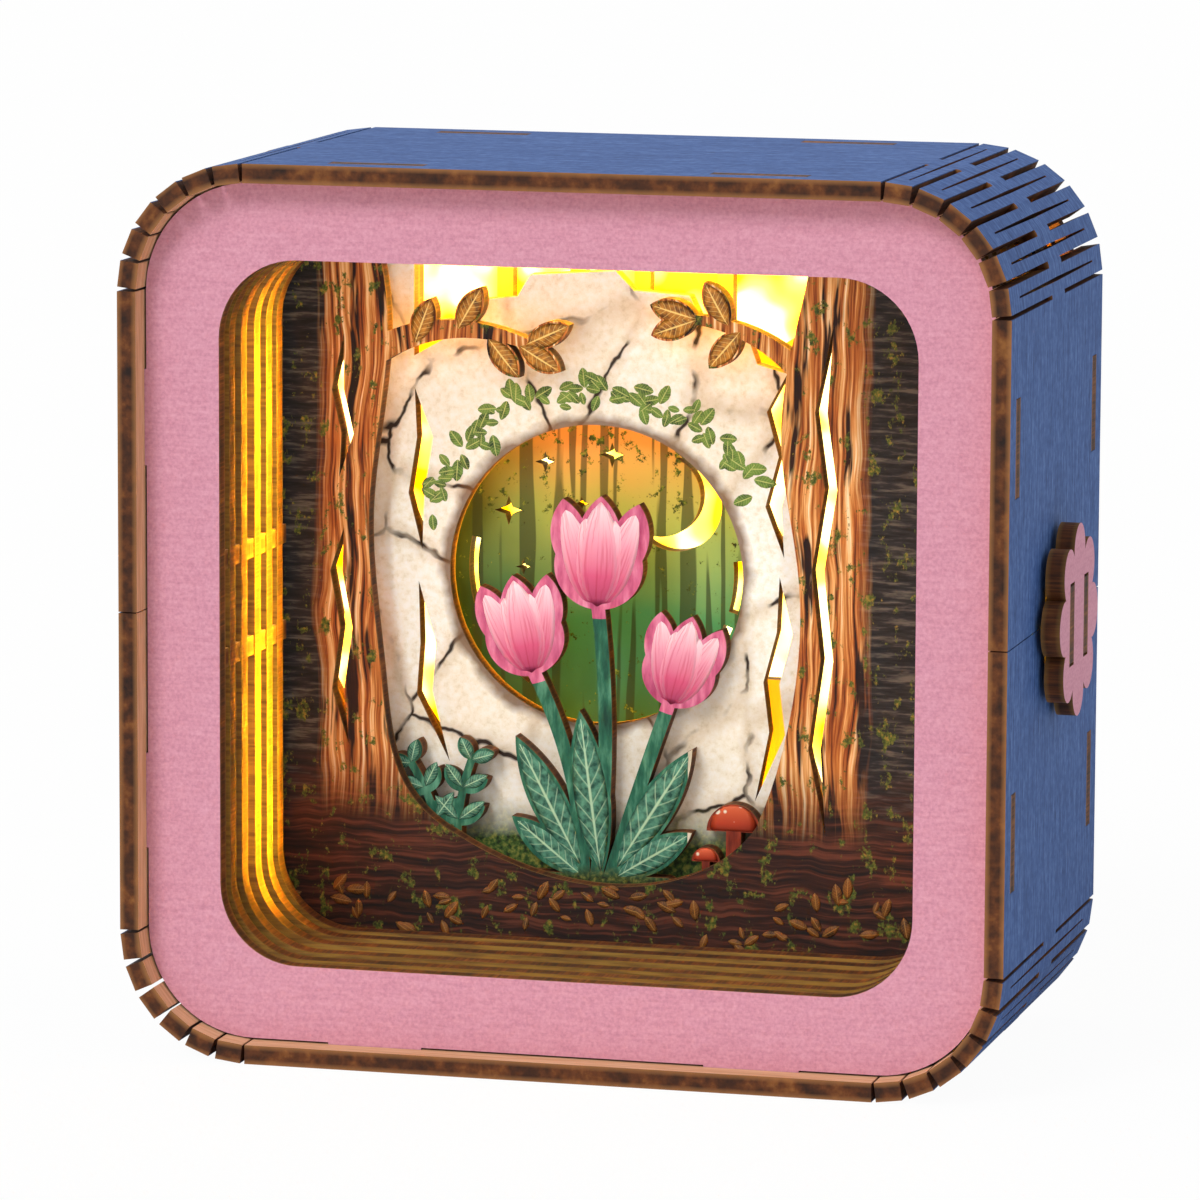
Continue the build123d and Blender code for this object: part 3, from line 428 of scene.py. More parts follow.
def stone_print(tree, place):
    """Cream stone in cracked pieces, stained round the gate and mossy at its foot."""
    bent = wander(tree, place, 1.6, (4, 4, 4))
    scale = (1 / PIECE_WIDE, 0, 1 / PIECE_HIGH)
    flat = add_node(tree, "ShaderNodeVectorMath", {0: bent, 1: scale}, operation="MULTIPLY")
    inputs = {"Vector": flat, "Scale": 1.0}
    pieces = add_node(tree, "ShaderNodeTexVoronoi", inputs, "Color")
    border = add_node(tree, "ShaderNodeTexVoronoi", inputs, feature="DISTANCE_TO_EDGE")
    stone = mottled(tree, place, (1.1, 1.1, 1.1), STONE, 6.0, 0.7)[0]
    line = add_node(tree, "ShaderNodeMapRange", {0: border, 1: 0.022, 2: 0.008})
    gaps = blots(tree, place, (7, 7, 7), 1.0)
    broken = add_node(tree, "ShaderNodeMapRange", {0: gaps, 1: 0.44, 2: 0.56})
    crack = add_node(tree, "ShaderNodeMath", {0: line, 1: broken}, operation="MULTIPLY")
    moss = mottled(tree, place, (0.8, 4, 0.8), WALL_MOSS)[0]
    coats = [(reach_along(tree, pieces, RIGHT), (0, 1, 0.5), "#f2e4ca", "MULTIPLY")]
    coats += [(border, (0.09, 0.01, 0.4), "#c3a67c", "MULTIPLY"), (crack, (0, 1), "#2e2018")]
    coats.append((far_from(tree, bent, *GATE), (GATE_RADIUS + 2.2, GATE_RADIUS + 0.4, 0.85), "#6a4420"))
    coats.append((reach_along(tree, bent, UP), (-34, -41), moss))
    return lay_coats(tree, stone, *coats), border


print("gate of", 2 * GATE_RADIUS, "mm at", GATE)

# %% [markdown]
# The backdrop is a wood at dusk. Its colour goes by height from deep green to teal and to a warm orange
# sky, and far trunks are tall thin blots laid over it. Outside the gate it only shows through the cracks,
# where painted golden light on the backdrop makes them glow.

# %% Print on the backdrop
DUSK = [(0.0, "#16210f"), (0.22, "#23482c"), (0.42, "#3f8a68"), (0.56, "#9fae5a"), (0.68, "#d98f4c")]
DUSK += [(0.85, "#8a6a22"), (1.0, "#e0b93a")]
CROWN = [(0.35, "#161d0a"), (0.52, "#3d4f16"), (0.68, "#8c8f2c")]


def dusk_print(tree, place):
    """A dusk sky behind far trunks, with leaves overhead and painted golden light outside the gate."""
    bent = wander(tree, place, 5.0, (14, 14, 14))
    height = reach_along(tree, bent, UP)
    rising = add_node(tree, "ShaderNodeMapRange", {0: height, 1: -50, 2: 58})
    sky = add_node(tree, "ShaderNodeValToRGB", {0: rising}, stops=DUSK)
    far = blots(tree, wander(tree, place, 0.8, (5, 5, 30)), (2.2, 4, 60), 1.0)
    leaves = blots(tree, place, (2.4, 4, 2.4), 6.0, 0.75)
    denser = add_node(tree, "ShaderNodeMapRange", {0: height, 1: 6, 2: 50, 4: 0.16})
    thick = add_node(tree, "ShaderNodeMath", {0: leaves, 1: denser}, operation="ADD")
    crown = mottled(tree, place, (0.9, 4, 0.9), CROWN)[0]
    gate = far_from(tree, place, *GATE)
    coats = [(reach_along(tree, bent, RIGHT), (-10, -30), "#54602c", "MULTIPLY")]
    coats += [(far, (0.53, 0.56, 0.75), "#1f2a16"), (thick, (0.6, 0.64), crown)]
    # Painted light: the backdrop turns golden outside the gate, so the cracks in the wall glow as if lit.
    coats.append((gate, (GATE_RADIUS + 2, GATE_RADIUS + 5), "#f2cc48"))
    return lay_coats(tree, sky, *coats), leaves


SCENERY = {"trunks_layer": bark_print, "garden_wall": stone_print, "backdrop": dusk_print}
for name, print_of in SCENERY.items():
    dress(board_material("printed_birch_ply_" + name, name, FRONT, print_of), name)
print("printed scenery boards:", sorted(SCENERY))

# %% [markdown]
# The plants are cut from the same ply. Their faces get an undercoat here: green for leaves and stems, pink
# under the blooms, red under the caps and moss at the base. Petals, leaf blades and caps come later as
# thin printed shapes, and a narrow rim of this undercoat stays in sight round them.

# %% Undercoat of the plants
# Foot X, foot Z, width and lean of each bloom, then middle X, middle Z and radius of each cap
TULIPS = [(-15.5, -14.0, 13.0, 12.0), (-5.0, -3.0, 14.5, -2.0), (7.0, -18.0, 12.0, -14.0)]
CAPS = [(17.5, -37.5, 4.4), (13.0, -42.5, 2.3)]
TOADSTOOLS_FROM = 10.0  # X where the toadstools start
BLOOM_MIDDLE, BLOOM_REACH = 0.66, 0.76  # of a bloom's width
LEAF_INK = [(0.3, "#123c30"), (0.5, "#25644c"), (0.7, "#5f9a7c")]
BLOOM_INK = [(0.3, "#a83a62"), (0.5, "#cf6488"), (0.7, "#e690aa")]
CAP_INK = [(0.3, "#5c1a10"), (0.6, "#9c3c22")]
STALK_INK = [(0.3, "#b8a988"), (0.6, "#e6dcc4")]
PLANT_MOSS = [(0.35, "#141a0b"), (0.5, "#37471c"), (0.68, "#7c7a3a")]


def plant_print(tree, place):
    """Leaf green with darker blots, pink where the blooms are, and mossy at the base."""
    blades = blots(tree, place, (1.4, 4, 6), 4.0)
    inks = [LEAF_INK, BLOOM_INK, CAP_INK, STALK_INK]
    green, pink, red, pale = [add_node(tree, "ShaderNodeValToRGB", {0: blades}, stops=ink) for ink in inks]
    coats = [(reach_along(tree, place, RIGHT), TOADSTOOLS_FROM, pale)]
    rounds = []
    for x, z, width, lean in TULIPS:
        tilt, rise = math.radians(lean), BLOOM_MIDDLE * width
        rounds.append((x - rise * math.sin(tilt), z + rise * math.cos(tilt), BLOOM_REACH * width, pink))
    rounds += [(x, z, radius + 0.3, red) for x, z, radius in CAPS]
    for x, z, radius, ink in rounds:
        inside = {0: radius, 1: far_from(tree, place, x, z)}
        coats.append((add_node(tree, "ShaderNodeMath", inside, operation="SUBTRACT"), 0.0, ink))
    moss = mottled(tree, place, (0.8, 4, 0.8), PLANT_MOSS, 5.0)[0]
    coats.append((reach_along(tree, place, UP), (-44, -46), moss))
    return lay_coats(tree, green, *coats), blades


PLANTS = ("tulip_cluster", "toadstool_group", "fern_group")
dress(board_material("printed_birch_ply_plants", "tulip_cluster", FRONT, plant_print), *PLANTS)
print("plants:", PLANTS)

# %% [markdown]
# Petals, leaves and caps are crisp painted shapes. Each is a blade: a spine with a width that swells and
# closes again, crowned in the middle so that it catches the light. A drawn outline on the board would be
# quicker, but it would look flat, and its edge would blur. This cell makes the spine and the width.

# %% Spines and widths of blades
BLADE_STEPS = 10


def spine(foot, angle, length, steps=BLADE_STEPS):
    """Points from a foot along an angle in degrees."""
    x, z = math.cos(math.radians(angle)), math.sin(math.radians(angle))
    reaches = [length * step / steps for step in range(steps + 1)]
    return [(foot[0] + reach * x, foot[1] + reach * z) for reach in reaches]


def swell(width, steps=BLADE_STEPS, power=1.0, peak=0.5):
    """Half widths along a blade that closes at both ends and is widest at its peak."""
    shares = [step / steps for step in range(steps + 1)]
    bent = [0.5 * t / peak if t < peak else 1 - 0.5 * (1 - t) / (1 - peak) for t in shares]
    return [width / 2 * (4 * t * (1 - t)) ** power for t in bent]


print("a blade has", BLADE_STEPS, "steps")

# %% [markdown]
# A blade is built of rows of points. Each row runs across it, higher in the middle than at the rim, and
# the back is closed, so that the shape is solid.

# %% Rows and faces of a blade
BLADE_ACROSS = (-1.0, -0.6, 0.0, 0.6, 1.0)
PRINT_SINK = 0.03  # mm that a blade's rim lies in its board


def blade_rows(line, widths, front, lift, vertices, places):
    """Adds the points of one blade and their places on the UV map, and returns them row by row."""
    rows = []
    last = len(line) - 1
    for index, (x, z) in enumerate(line):
        share = index / last
        before, after = line[max(index - 1, 0)], line[min(index + 1, last)]
        heading = Vector((after[0] - before[0], after[1] - before[1])).normalized()
        tip = index in (0, last)
        row = []
        for across in (0.0,) if tip else BLADE_ACROSS:
            shift = across * widths[index]
            rise = 0.0 if tip else lift * (1 - across * across) * math.sin(math.pi * share) ** 0.5
            place = (x - heading.y * shift, front + PRINT_SINK - rise, z + heading.x * shift + HALF_HEIGHT)
            row.append(len(vertices))
            vertices.append(Vector(place) * MM)
            places.append((0.5 + across / 2, share))
        rows.append(row)
    return rows


def blade_faces(rows):
    """The crowned front of one blade and its flat back."""
    faces = []
    for low, high in zip(rows, rows[1:]):
        for column in range(max(len(low), len(high)) - 1):
            corners = [low[min(column, len(low) - 1)], low[min(column + 1, len(low) - 1)]]
            corners += [high[min(column + 1, len(high) - 1)], high[min(column, len(high) - 1)]]
            faces.append(tuple(dict.fromkeys(corners)))
        faces.append(tuple(dict.fromkeys([low[0], high[0], high[-1], low[-1]])))
    return faces


print("a blade is", len(BLADE_ACROSS), "points wide")

# %% [markdown]
# All blades of one kind are one mesh. Its UV map runs across each blade and along it, and the paint follows
# that map. Each mesh rides on the case, as its board does.


# %% Meshes of blades
def place_object(name, data):
    """An object of some data, linked to the scene."""
    piece = bpy.data.objects.new(name, data)
    bpy.context.scene.collection.objects.link(piece)
    return piece


def blade_mesh(name, blades, material):
    """One mesh of closed, crowned blades, each given as (spine, half widths, front, lift)."""
    vertices, faces, places = [], [], []
    for blade in blades:
        faces += blade_faces(blade_rows(*blade, vertices, places))
    mesh = bpy.data.meshes.new(name)
    mesh.from_pydata(vertices, [], faces)
    layer = mesh.uv_layers.new(name="UVMap")
    for loop in mesh.loops:
        layer.data[loop.index].uv = places[loop.vertex_index]
    work = bmesh.new()
    work.from_mesh(mesh)
    bmesh.ops.recalc_face_normals(work, faces=work.faces)
    work.to_mesh(mesh)
    work.free()
    mesh.polygons.foreach_set("use_smooth", [True] * len(mesh.polygons))
    mesh.materials.append(material)
    return place_object(name, mesh)


def on_case(piece):
    """Lets a printed piece ride on the case."""
    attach(piece, "case")
    print(piece.name, len(piece.data.polygons), "faces")


print("leaves lie", PRINT_SINK, "mm deep in their boards")

# %% [markdown]
# A petal is deep pink at its foot and pale at its tip, with fine veins along it and a dark rim, like the
# outline in a storybook. The distance to the middle line gives the rim, and noise stretched along the
# blade gives the veins.

# %% Paint for petals
PETAL_INK = [(0.0, "#9c2f58"), (0.3, "#d4587f"), (0.65, "#f0a2b6"), (0.95, "#fbdbe0")]


def blade_place(tree):
    """How far across a blade, from 0 at its middle line to 1 at its rim, how far along it, and both."""
    place = add_node(tree, "ShaderNodeUVMap", uv_map="UVMap")
    across = add_node(tree, "ShaderNodeSeparateXYZ", {0: place})
    off_middle = add_node(tree, "ShaderNodeMath", {0: across, 1: 0.5}, operation="SUBTRACT")
    from_middle = add_node(tree, "ShaderNodeMath", {0: off_middle}, operation="ABSOLUTE")
    doubled = add_node(tree, "ShaderNodeMath", {0: from_middle, 1: 2.0}, operation="MULTIPLY")
    return doubled, across.node.outputs[1], place


def petal_paint():
    """Printed petals, shaded from foot to tip with veins and a dark rim."""
    material, tree = new_material("petal_print_on_birch")
    across, up, place = blade_place(tree)
    stretched = add_node(tree, "ShaderNodeVectorMath", {0: place, 1: (16, 1.5, 1)}, operation="MULTIPLY")
    veins = add_node(tree, "ShaderNodeTexNoise", {"Vector": stretched, "Scale": 1.0, "Detail": 3.0})
    colour = add_node(tree, "ShaderNodeValToRGB", {0: up}, stops=PETAL_INK)
    coats = [(veins, (0.5, 0.66, 0.5), "#e0708f", "MULTIPLY"), (across, (0.55, 0.95, 0.3), "#fff0f2")]
    coats.append((across, 0.955, "#6e1c3e"))
    finish_wood(tree, lay_coats(tree, colour, *coats), veins, 0.6, 0.06)
    return material


petal_pink = petal_paint()
print("paint:", petal_pink.name)

# %% [markdown]
# Three tulips stand in the middle. Each bloom has two side petals behind, two inner ones and a wide one in
# front. They are drawn once, upright, in shares of the bloom's width, and then leant over and moved, so
# that all three blooms come from one drawing.

# %% Tulips
PLANT_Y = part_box("tulip_cluster")[0].y / MM
# Side foot, side reach, foot, height and width in shares of the bloom, then power, peak and lift in mm
PETALS = [(0.05, 0.36, 0.02, 1.1, 0.42, 0.7, 0.4, 0.12), (0.0, 0.17, 0.02, 1.0, 0.5, 0.75, 0.42, 0.2)]
FRONT_PETAL = (0.0, 0.0, 0.015, 1.19, 0.56, 0.8, 0.38, 0.34)


def leant(points, x, z, width, lean):
    """Points of the upright bloom, in shares of its width, leant over and moved to its foot."""
    sine, cosine = math.sin(math.radians(lean)), math.cos(math.radians(lean))
    turned = [(px * cosine - pz * sine, px * sine + pz * cosine) for px, pz in points]
    return [(x + width * px, z + width * pz) for px, pz in turned]


def petals_of(x, z, width, lean):
    """The blades of one bloom, from the back to the front."""
    shares = [step / BLADE_STEPS for step in range(BLADE_STEPS + 1)]
    blades = []
    for petal, side in [(petal, side) for petal in PETALS for side in (-1, 1)] + [(FRONT_PETAL, 1)]:
        side_foot, side_reach, foot, height, wide, power, peak, lift = petal
        line = [(side * (side_foot + side_reach * t), foot + height * t) for t in shares]
        widths = [w * width for w in swell(wide, power=power, peak=peak)]
        blades.append((leant(line, x, z, width, lean), widths, PLANT_Y, lift))
    return blades


on_case(blade_mesh("tulip_petals", [blade for tulip in TULIPS for blade in petals_of(*tulip)], petal_pink))

# %% [markdown]
# A printed leaf has a pale midrib, slanting side veins and a dark rim. All three come from the place on
# the blade: how far across it is, and how far along. Four inks dress the tulips and the fern, the boughs,
# the fallen leaves and the ivy.


# %% Paint for leaves
def leaf_paint(name, dark, pale, rib, rim):
    """Printed leaves with a midrib, side veins and a dark rim."""
    material, tree = new_material(name)
    across, up, _ = blade_place(tree)
    shade = add_node(tree, "ShaderNodeAttribute", {}, "Fac", attribute_name="shade")
    mottle = blots(tree, place_mm(tree), (1.1, 4, 1.1), 4.0)
    paler = add_node(tree, "ShaderNodeMapRange", {0: shade, 4: 0.16})
    tone = add_node(tree, "ShaderNodeMath", {0: mottle, 1: paler}, operation="ADD")
    colour = add_node(tree, "ShaderNodeValToRGB", {0: tone}, stops=[(0.34, dark), (0.66, pale)])
    slanted = add_node(tree, "ShaderNodeMath", {0: across, 1: -0.16, 2: up}, operation="MULTIPLY_ADD")
    repeated = add_node(tree, "ShaderNodeMath", {0: slanted, 1: 9.0}, operation="MULTIPLY")
    side = add_node(tree, "ShaderNodeMath", {0: repeated}, operation="FRACT")
    coats = [(side, (0.82, 0.95, 0.55), rib), (across, (0.1, 0.04, 0.9), rib)]
    coats.append((across, (0.82, 0.96, 0.9), rim))
    finish_wood(tree, lay_coats(tree, colour, *coats), side, 0.55, 0.05)
    return material


leaf_teal = leaf_paint("leaf_print_on_birch", "#17483c", "#5d9a7e", "#b9d9b2", "#0c2a22")
leaf_bronze = leaf_paint("bough_leaf_print_on_birch", "#5c3410", "#c9862c", "#f0cf7a", "#2b1406")
leaf_fallen = leaf_paint("fallen_leaf_print_on_birch", "#24140a", "#7c4a1a", "#a87a3c", "#120a05")
leaf_ivy = leaf_paint("ivy_print_on_birch", "#1a3818", "#6f8f3c", "#c4c878", "#0d1c0c")
print("paint:", leaf_teal.name, leaf_bronze.name, leaf_fallen.name, leaf_ivy.name)

# %% [markdown]
# The leaves of the tulips rise from one base. Their feet, lengths and angles are those that the board is
# cut to, and the print is a little smaller than the wood, so that a line of wood shows round it.

# %% Leaves of the tulips
PRINT_WIDTH, PRINT_LENGTH, PRINT_FOOT = 0.93, 0.95, 0.02  # shares of a cut leaf
# Foot X, foot Z, length, width and angle
TULIP_LEAVES = [(-7, -46, 15, 5.0, 142), (-2, -46, 15, 5.2, 32), (-7, -45, 24, 6.0, 118)]
TULIP_LEAVES += [(-2, -45, 24, 6.2, 58), (-4, -46, 27, 6.4, 98)]


def leaf_blade(x, z, length, width, angle, front, lift):
    """One leaf on a board, a little smaller than the board is cut."""
    turned = math.radians(angle)
    foot = (x + PRINT_FOOT * length * math.cos(turned), z + PRINT_FOOT * length * math.sin(turned))
    return spine(foot, angle, length * PRINT_LENGTH), swell(width * PRINT_WIDTH), front, lift


leaves = [leaf_blade(*leaf, PLANT_Y, 0.1 + 0.04 * index) for index, leaf in enumerate(TULIP_LEAVES)]
on_case(blade_mesh("tulip_leaves", leaves, leaf_teal))

# %% [markdown]
# A fern frond is a curve with pairs of leaflets that get shorter towards its tip. The board is cut by that
# rule, so the print follows it too: a smooth curve through three points, and a pair at each place. The
# boughs of the old trees carry single bronze leaves, and a list says where.

# %% Leaves of the fern and the boughs
TRUNKS_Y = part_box("trunks_layer")[0].y / MM
FRONDS = [[(-30, -46), (-32, -36), (-35.5, -29)], [(-27.5, -46), (-27.5, -36), (-25.5, -28)]]
LEAFLET_PLACES = (0.4, 0.7, 1.0)
LEAFLET_TURN = 50
# Foot X, foot Z and angle
BOUGH_LEAVES = [(-27, 41, 60), (-22, 40, -50), (-16, 39, 25), (-17, 39, -30), (-34, 38.5, 70)]
BOUGH_LEAVES += [(17, 43, 120), (19, 42.5, -130), (12, 44, 165), (12, 44, -160)]


def quadratic(place, start, middle, end, order=0):
    """A smooth curve through three values at 0, one half and 1, or its slope."""
    curve = 2 * (start - 2 * middle + end)
    slope = end - start - curve
    return start + slope * place + curve * place * place if order == 0 else slope + 2 * curve * place


def fern_leaflets():
    """Paired leaflets along the two fronds, by the same rule as the board is cut."""
    blades = []
    for foot, bend, tip in FRONDS:
        for place in LEAFLET_PLACES:
            x, z = (quadratic(place, foot[i], bend[i], tip[i]) for i in (0, 1))
            slope = [quadratic(place, foot[i], bend[i], tip[i], 1) for i in (0, 1)]
            heading = math.degrees(math.atan2(slope[1], slope[0]))
            for turn in (LEAFLET_TURN, -LEAFLET_TURN):
                blades.append(leaf_blade(x, z, 6.6 - 2.6 * place, 2.4, heading + turn, PLANT_Y, 0.25))
    return blades


on_case(blade_mesh("fern_leaflets", fern_leaflets(), leaf_teal))
leaves = [leaf_blade(x, z, 8.0, 4.0, angle, TRUNKS_Y, 0.3) for x, z, angle in BOUGH_LEAVES]
on_case(blade_mesh("bough_leaves", leaves, leaf_bronze))

# %% [markdown]
# The toadstools have red caps with pale spots. A cap is a blade whose spine runs up its middle and whose
# width is a half circle, so the same function still makes it. The spots are round Voronoi cells.

# %% Toadstool caps
CAP_SPOT = 1.6  # mm
CAP_RED = [(0.0, "#6e1f10"), (0.35, "#b03a1e"), (0.9, "#cf5a30")]


def cap_paint():
    """Red caps with pale spots, darker at the rim."""
    material, tree = new_material("toadstool_print_on_birch")
    across, up, _ = blade_place(tree)
    scale = (1 / CAP_SPOT, 0, 1 / CAP_SPOT)
    here = add_node(tree, "ShaderNodeVectorMath", {0: place_mm(tree), 1: scale}, operation="MULTIPLY")
    cells = add_node(tree, "ShaderNodeTexVoronoi", {"Vector": here, "Scale": 1.0, "Randomness": 0.7})
    colour = add_node(tree, "ShaderNodeValToRGB", {0: up}, stops=CAP_RED)
    coats = [(cells, (0.34, 0.26), "#f4e6cc"), (across, (0.86, 0.97, 0.8), "#3a0f08")]
    finish_wood(tree, lay_coats(tree, colour, *coats), cells, 0.5, 0.04)
    return material


def cap_blade(x, z, radius):
    """A half-round cap on the front of the plant board."""
    shares = [0.0, 0.02] + [step / BLADE_STEPS for step in range(1, BLADE_STEPS + 1)]
    line = [(x, z + 0.1 + (radius - 0.2) * share) for share in shares]
    widths = [(radius - 0.15) * math.sqrt(max(0.0, 1 - share * share)) for share in shares]
    return line, widths, PLANT_Y, 0.3


on_case(blade_mesh("toadstool_caps", [cap_blade(*cap) for cap in CAPS], cap_paint()))

# %% [markdown]
# Ivy climbs round the gate and leaves lie along the forest floor. Both are one leaf repeated along a
# path, which is what Geometry Nodes are for: the path becomes a curve, points are spread on it, and each
# point carries a leaf with its own turn, size and shade. The seed is fixed, so every run is the same.

# %% A tree that grows leaves along a path
GROWTH_INPUTS = {"Path": "Geometry", "Blade": "Object", "Spacing": "Float", "Spread": "Float"}
GROWTH_INPUTS.update({"Smallest": "Float", "Seed": "Int", "Paint": "Material"})


def growth_tree():
    """A node tree that grows blades along a path."""
    tree = bpy.data.node_groups.new("growth_along_path", "GeometryNodeTree")
    for name, kind in GROWTH_INPUTS.items():
        tree.interface.new_socket(name, in_out="INPUT", socket_type="NodeSocket" + kind)
    tree.interface.new_socket("Growth", in_out="OUTPUT", socket_type="NodeSocketGeometry")
    given = add_node(tree, "NodeGroupInput").node.outputs
    curve = add_node(tree, "GeometryNodeMeshToCurve", {0: given["Path"]})
    inputs = {"Curve": curve, "Length": given["Spacing"]}
    points = add_node(tree, "GeometryNodeResampleCurve", inputs, mode="LENGTH")
    inputs = {"Scale": given["Spread"]}
    low = add_node(tree, "ShaderNodeVectorMath", {0: (-1, 0, -1), **inputs}, operation="SCALE")
    high = add_node(tree, "ShaderNodeVectorMath", {0: (1, 0, 1), **inputs}, operation="SCALE")
    inputs = {0: low, 1: high, "Seed": given["Seed"]}
    shift = add_node(tree, "FunctionNodeRandomValue", inputs, data_type="FLOAT_VECTOR")
    strewn = add_node(tree, "GeometryNodeSetPosition", {"Geometry": points, "Offset": shift})
    blade = add_node(tree, "GeometryNodeObjectInfo", {"Object": given["Blade"]}, "Geometry")
    inputs = {0: (0, -math.pi, 0), 1: (0, math.pi, 0)}
    turn = add_node(tree, "FunctionNodeRandomValue", inputs, data_type="FLOAT_VECTOR")
    size = add_node(tree, "FunctionNodeRandomValue", {2: given["Smallest"], 3: 1.0}, 1, data_type="FLOAT")
    inputs = {"Points": strewn, "Instance": blade, "Rotation": turn, "Scale": size}
    grown = add_node(tree, "GeometryNodeInstanceOnPoints", inputs)
    shade = add_node(tree, "FunctionNodeRandomValue", {2: 0.0, 3: 1.0, "Seed": 5}, 1, data_type="FLOAT")
    inputs = {"Geometry": grown, "Name": "shade", "Value": shade}
    shaded = add_node(tree, "GeometryNodeStoreNamedAttribute", inputs, data_type="FLOAT", domain="INSTANCE")
    solid = add_node(tree, "GeometryNodeRealizeInstances", {0: shaded})
    painted = add_node(tree, "GeometryNodeSetMaterial", {"Geometry": solid, "Material": given["Paint"]})
    add_node(tree, "NodeGroupOutput", {"Growth": painted})
    return tree


growth = growth_tree()
print("growth tree:", len(growth.nodes), "nodes")

# %% [markdown]
# A path is a row of points on the front of a board. The modifier gets its values by each input's
# identifier, and what it grows becomes a plain mesh, which an export can carry.


# %% Growing along a path
def grow(name, path, front, values):
    """A plain mesh of blades along a path of (x, z) points on a board's front."""
    points = [Vector((x, front, z + HALF_HEIGHT)) * MM for x, z in path]
    mesh = bpy.data.meshes.new(name)
    mesh.from_pydata(points, [(i, i + 1) for i in range(len(points) - 1)], [])
    host = place_object(name + "_path", mesh)
    modifier = host.modifiers.new("growth", "NODES")
    modifier.node_group = growth
    for item in growth.interface.items_tree:
        if item.in_out == "INPUT" and item.name in values:
            modifier[item.identifier] = values[item.name]
    graph = bpy.context.evaluated_depsgraph_get()
    grown = bpy.data.meshes.new_from_object(host.evaluated_get(graph))
    grown.name = name
    bpy.data.objects.remove(host)
    return place_object(name, grown)


def small_leaf(name, length, width, lift, paint):
    """A single leaf whose foot is at the origin, to be repeated."""
    piece = blade_mesh(name, [(spine((0, 0), 90, length, steps=5), swell(width, 5), 0, lift)], paint)
    piece.data.transform(Matrix.Translation((0, 0, -HALF_HEIGHT * MM)))
    return piece


print("leaves grow by", growth.name)

# %% [markdown]
# The ivy follows an arc just outside the gate, from the right over the top to the left. The fallen leaves
# follow a shallow wave along the floor. The two leaves that were repeated are then taken away.

# %% Ivy and fallen leaves
WALL_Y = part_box("garden_wall")[0].y / MM
IVY_RADIUS = GATE_RADIUS + 5.2
ARC = [math.radians(angle) for angle in range(30, 165, 5)]
arch = [(GATE[0] + IVY_RADIUS * math.cos(angle), GATE[1] + IVY_RADIUS * math.sin(angle)) for angle in ARC]
floor = [(-50 + x, -50.5 - 1.5 * math.sin(x / 9)) for x in range(0, 101, 4)]
ivy_leaf = small_leaf("ivy_leaf", 4.2, 2.5, 0.1, leaf_ivy)
fallen_leaf = small_leaf("fallen_leaf", 4.0, 2.0, 0.25, leaf_fallen)
ivy = {"Blade": ivy_leaf, "Spacing": 0.75 * MM, "Spread": 1.6 * MM, "Smallest": 0.55, "Seed": 3}
fallen = {"Blade": fallen_leaf, "Spacing": 1.5 * MM, "Spread": 3.0 * MM, "Smallest": 0.5, "Seed": 8}
on_case(grow("gate_ivy", arch, WALL_Y, {**ivy, "Paint": leaf_ivy}))
on_case(grow("floor_leaves", floor, TRUNKS_Y, {**fallen, "Paint": leaf_fallen}))
for leaf in (ivy_leaf, fallen_leaf):
    bpy.data.objects.remove(leaf)

# %% [markdown]
# The light comes from small warm chips on white tapes, and from a milky sheet behind the backdrop. A chip
# is a yellow phosphor window in a white body, and the sheet is cast acrylic that scatters the light. Both
# glow by their own material, in pale and yellow patches, so that no opening is one flat tone. A tape is
# flexible and coated with white solder mask, through which its copper lands show faintly.

# %% Chips, tapes and the milky sheet
CHIPS = [name for name in nodes if name.endswith("_chips")]
TAPES = [name for name in nodes if name.endswith("_tapes")]
PHOSPHOR = [(0.3, "#ffc23a"), (0.7, "#ffe08a")]
MILKY = [(0.38, "#ffb400"), (0.5, "#ffdf55"), (0.6, "#fff0a8")]
MASK = [(0.5, "#ece8dc"), (0.54, "#d9c79a")]


def glowing(name, colours, sizes, strength):
    """A surface that shines, brighter and paler in its blots."""
    material, tree = new_material(name)
    colour = mottled(tree, place_mm(tree), sizes, colours, 1.0)[0]
    inputs = {"Base Color": colour, "Roughness": 0.5, "Emission Color": colour, "Emission Strength": strength}
    show_surface(tree, inputs)
    return material


dress(glowing("warm_phosphor_chip", PHOSPHOR, (2, 2, 2), 14.0), *CHIPS)
dress(glowing("cast_milky_acrylic", MILKY, (9, 9, 9), 3.2), "light_diffuser")
tape, tree = new_material("white_solder_mask")
colour = mottled(tree, place_mm(tree), (1.6, 1.6, 1.6), MASK, 0.0)[0]
show_surface(tree, {"Base Color": colour, "Roughness": 0.45, "IOR": 1.5})
dress(tape, *TAPES)
print("chips:", CHIPS, "tapes:", TAPES)

# %% [markdown]
# The small parts at the back are plain stock: a moulded black tray and switch, a white slider, nickel
# cells and magnets, and thin black leads. Moulded plastic has a faint even texture, plated steel has fine
# drawn lines, and each gets a little unevenness so that none looks computed.

# %% Plastic, metal and leads
LEADS = [name for name in nodes if name.startswith("feed_lead") or name.endswith("_lead")]


def stock_material(name, dark, pale, sizes, roughness, metallic):
    """Plain stock with faint blots in its colour and its relief."""
    material, tree = new_material(name)
    colour, marks = mottled(tree, place_mm(tree), sizes, [(0.3, dark), (0.7, pale)], 4.0)
    bump = add_node(tree, "ShaderNodeBump", {"Height": marks, "Distance": 0.02 * MM, "Strength": 0.5})
    inputs = {"Base Color": colour, "Roughness": roughness, "Metallic": metallic, "Normal": bump}
    show_surface(tree, inputs)
    return material


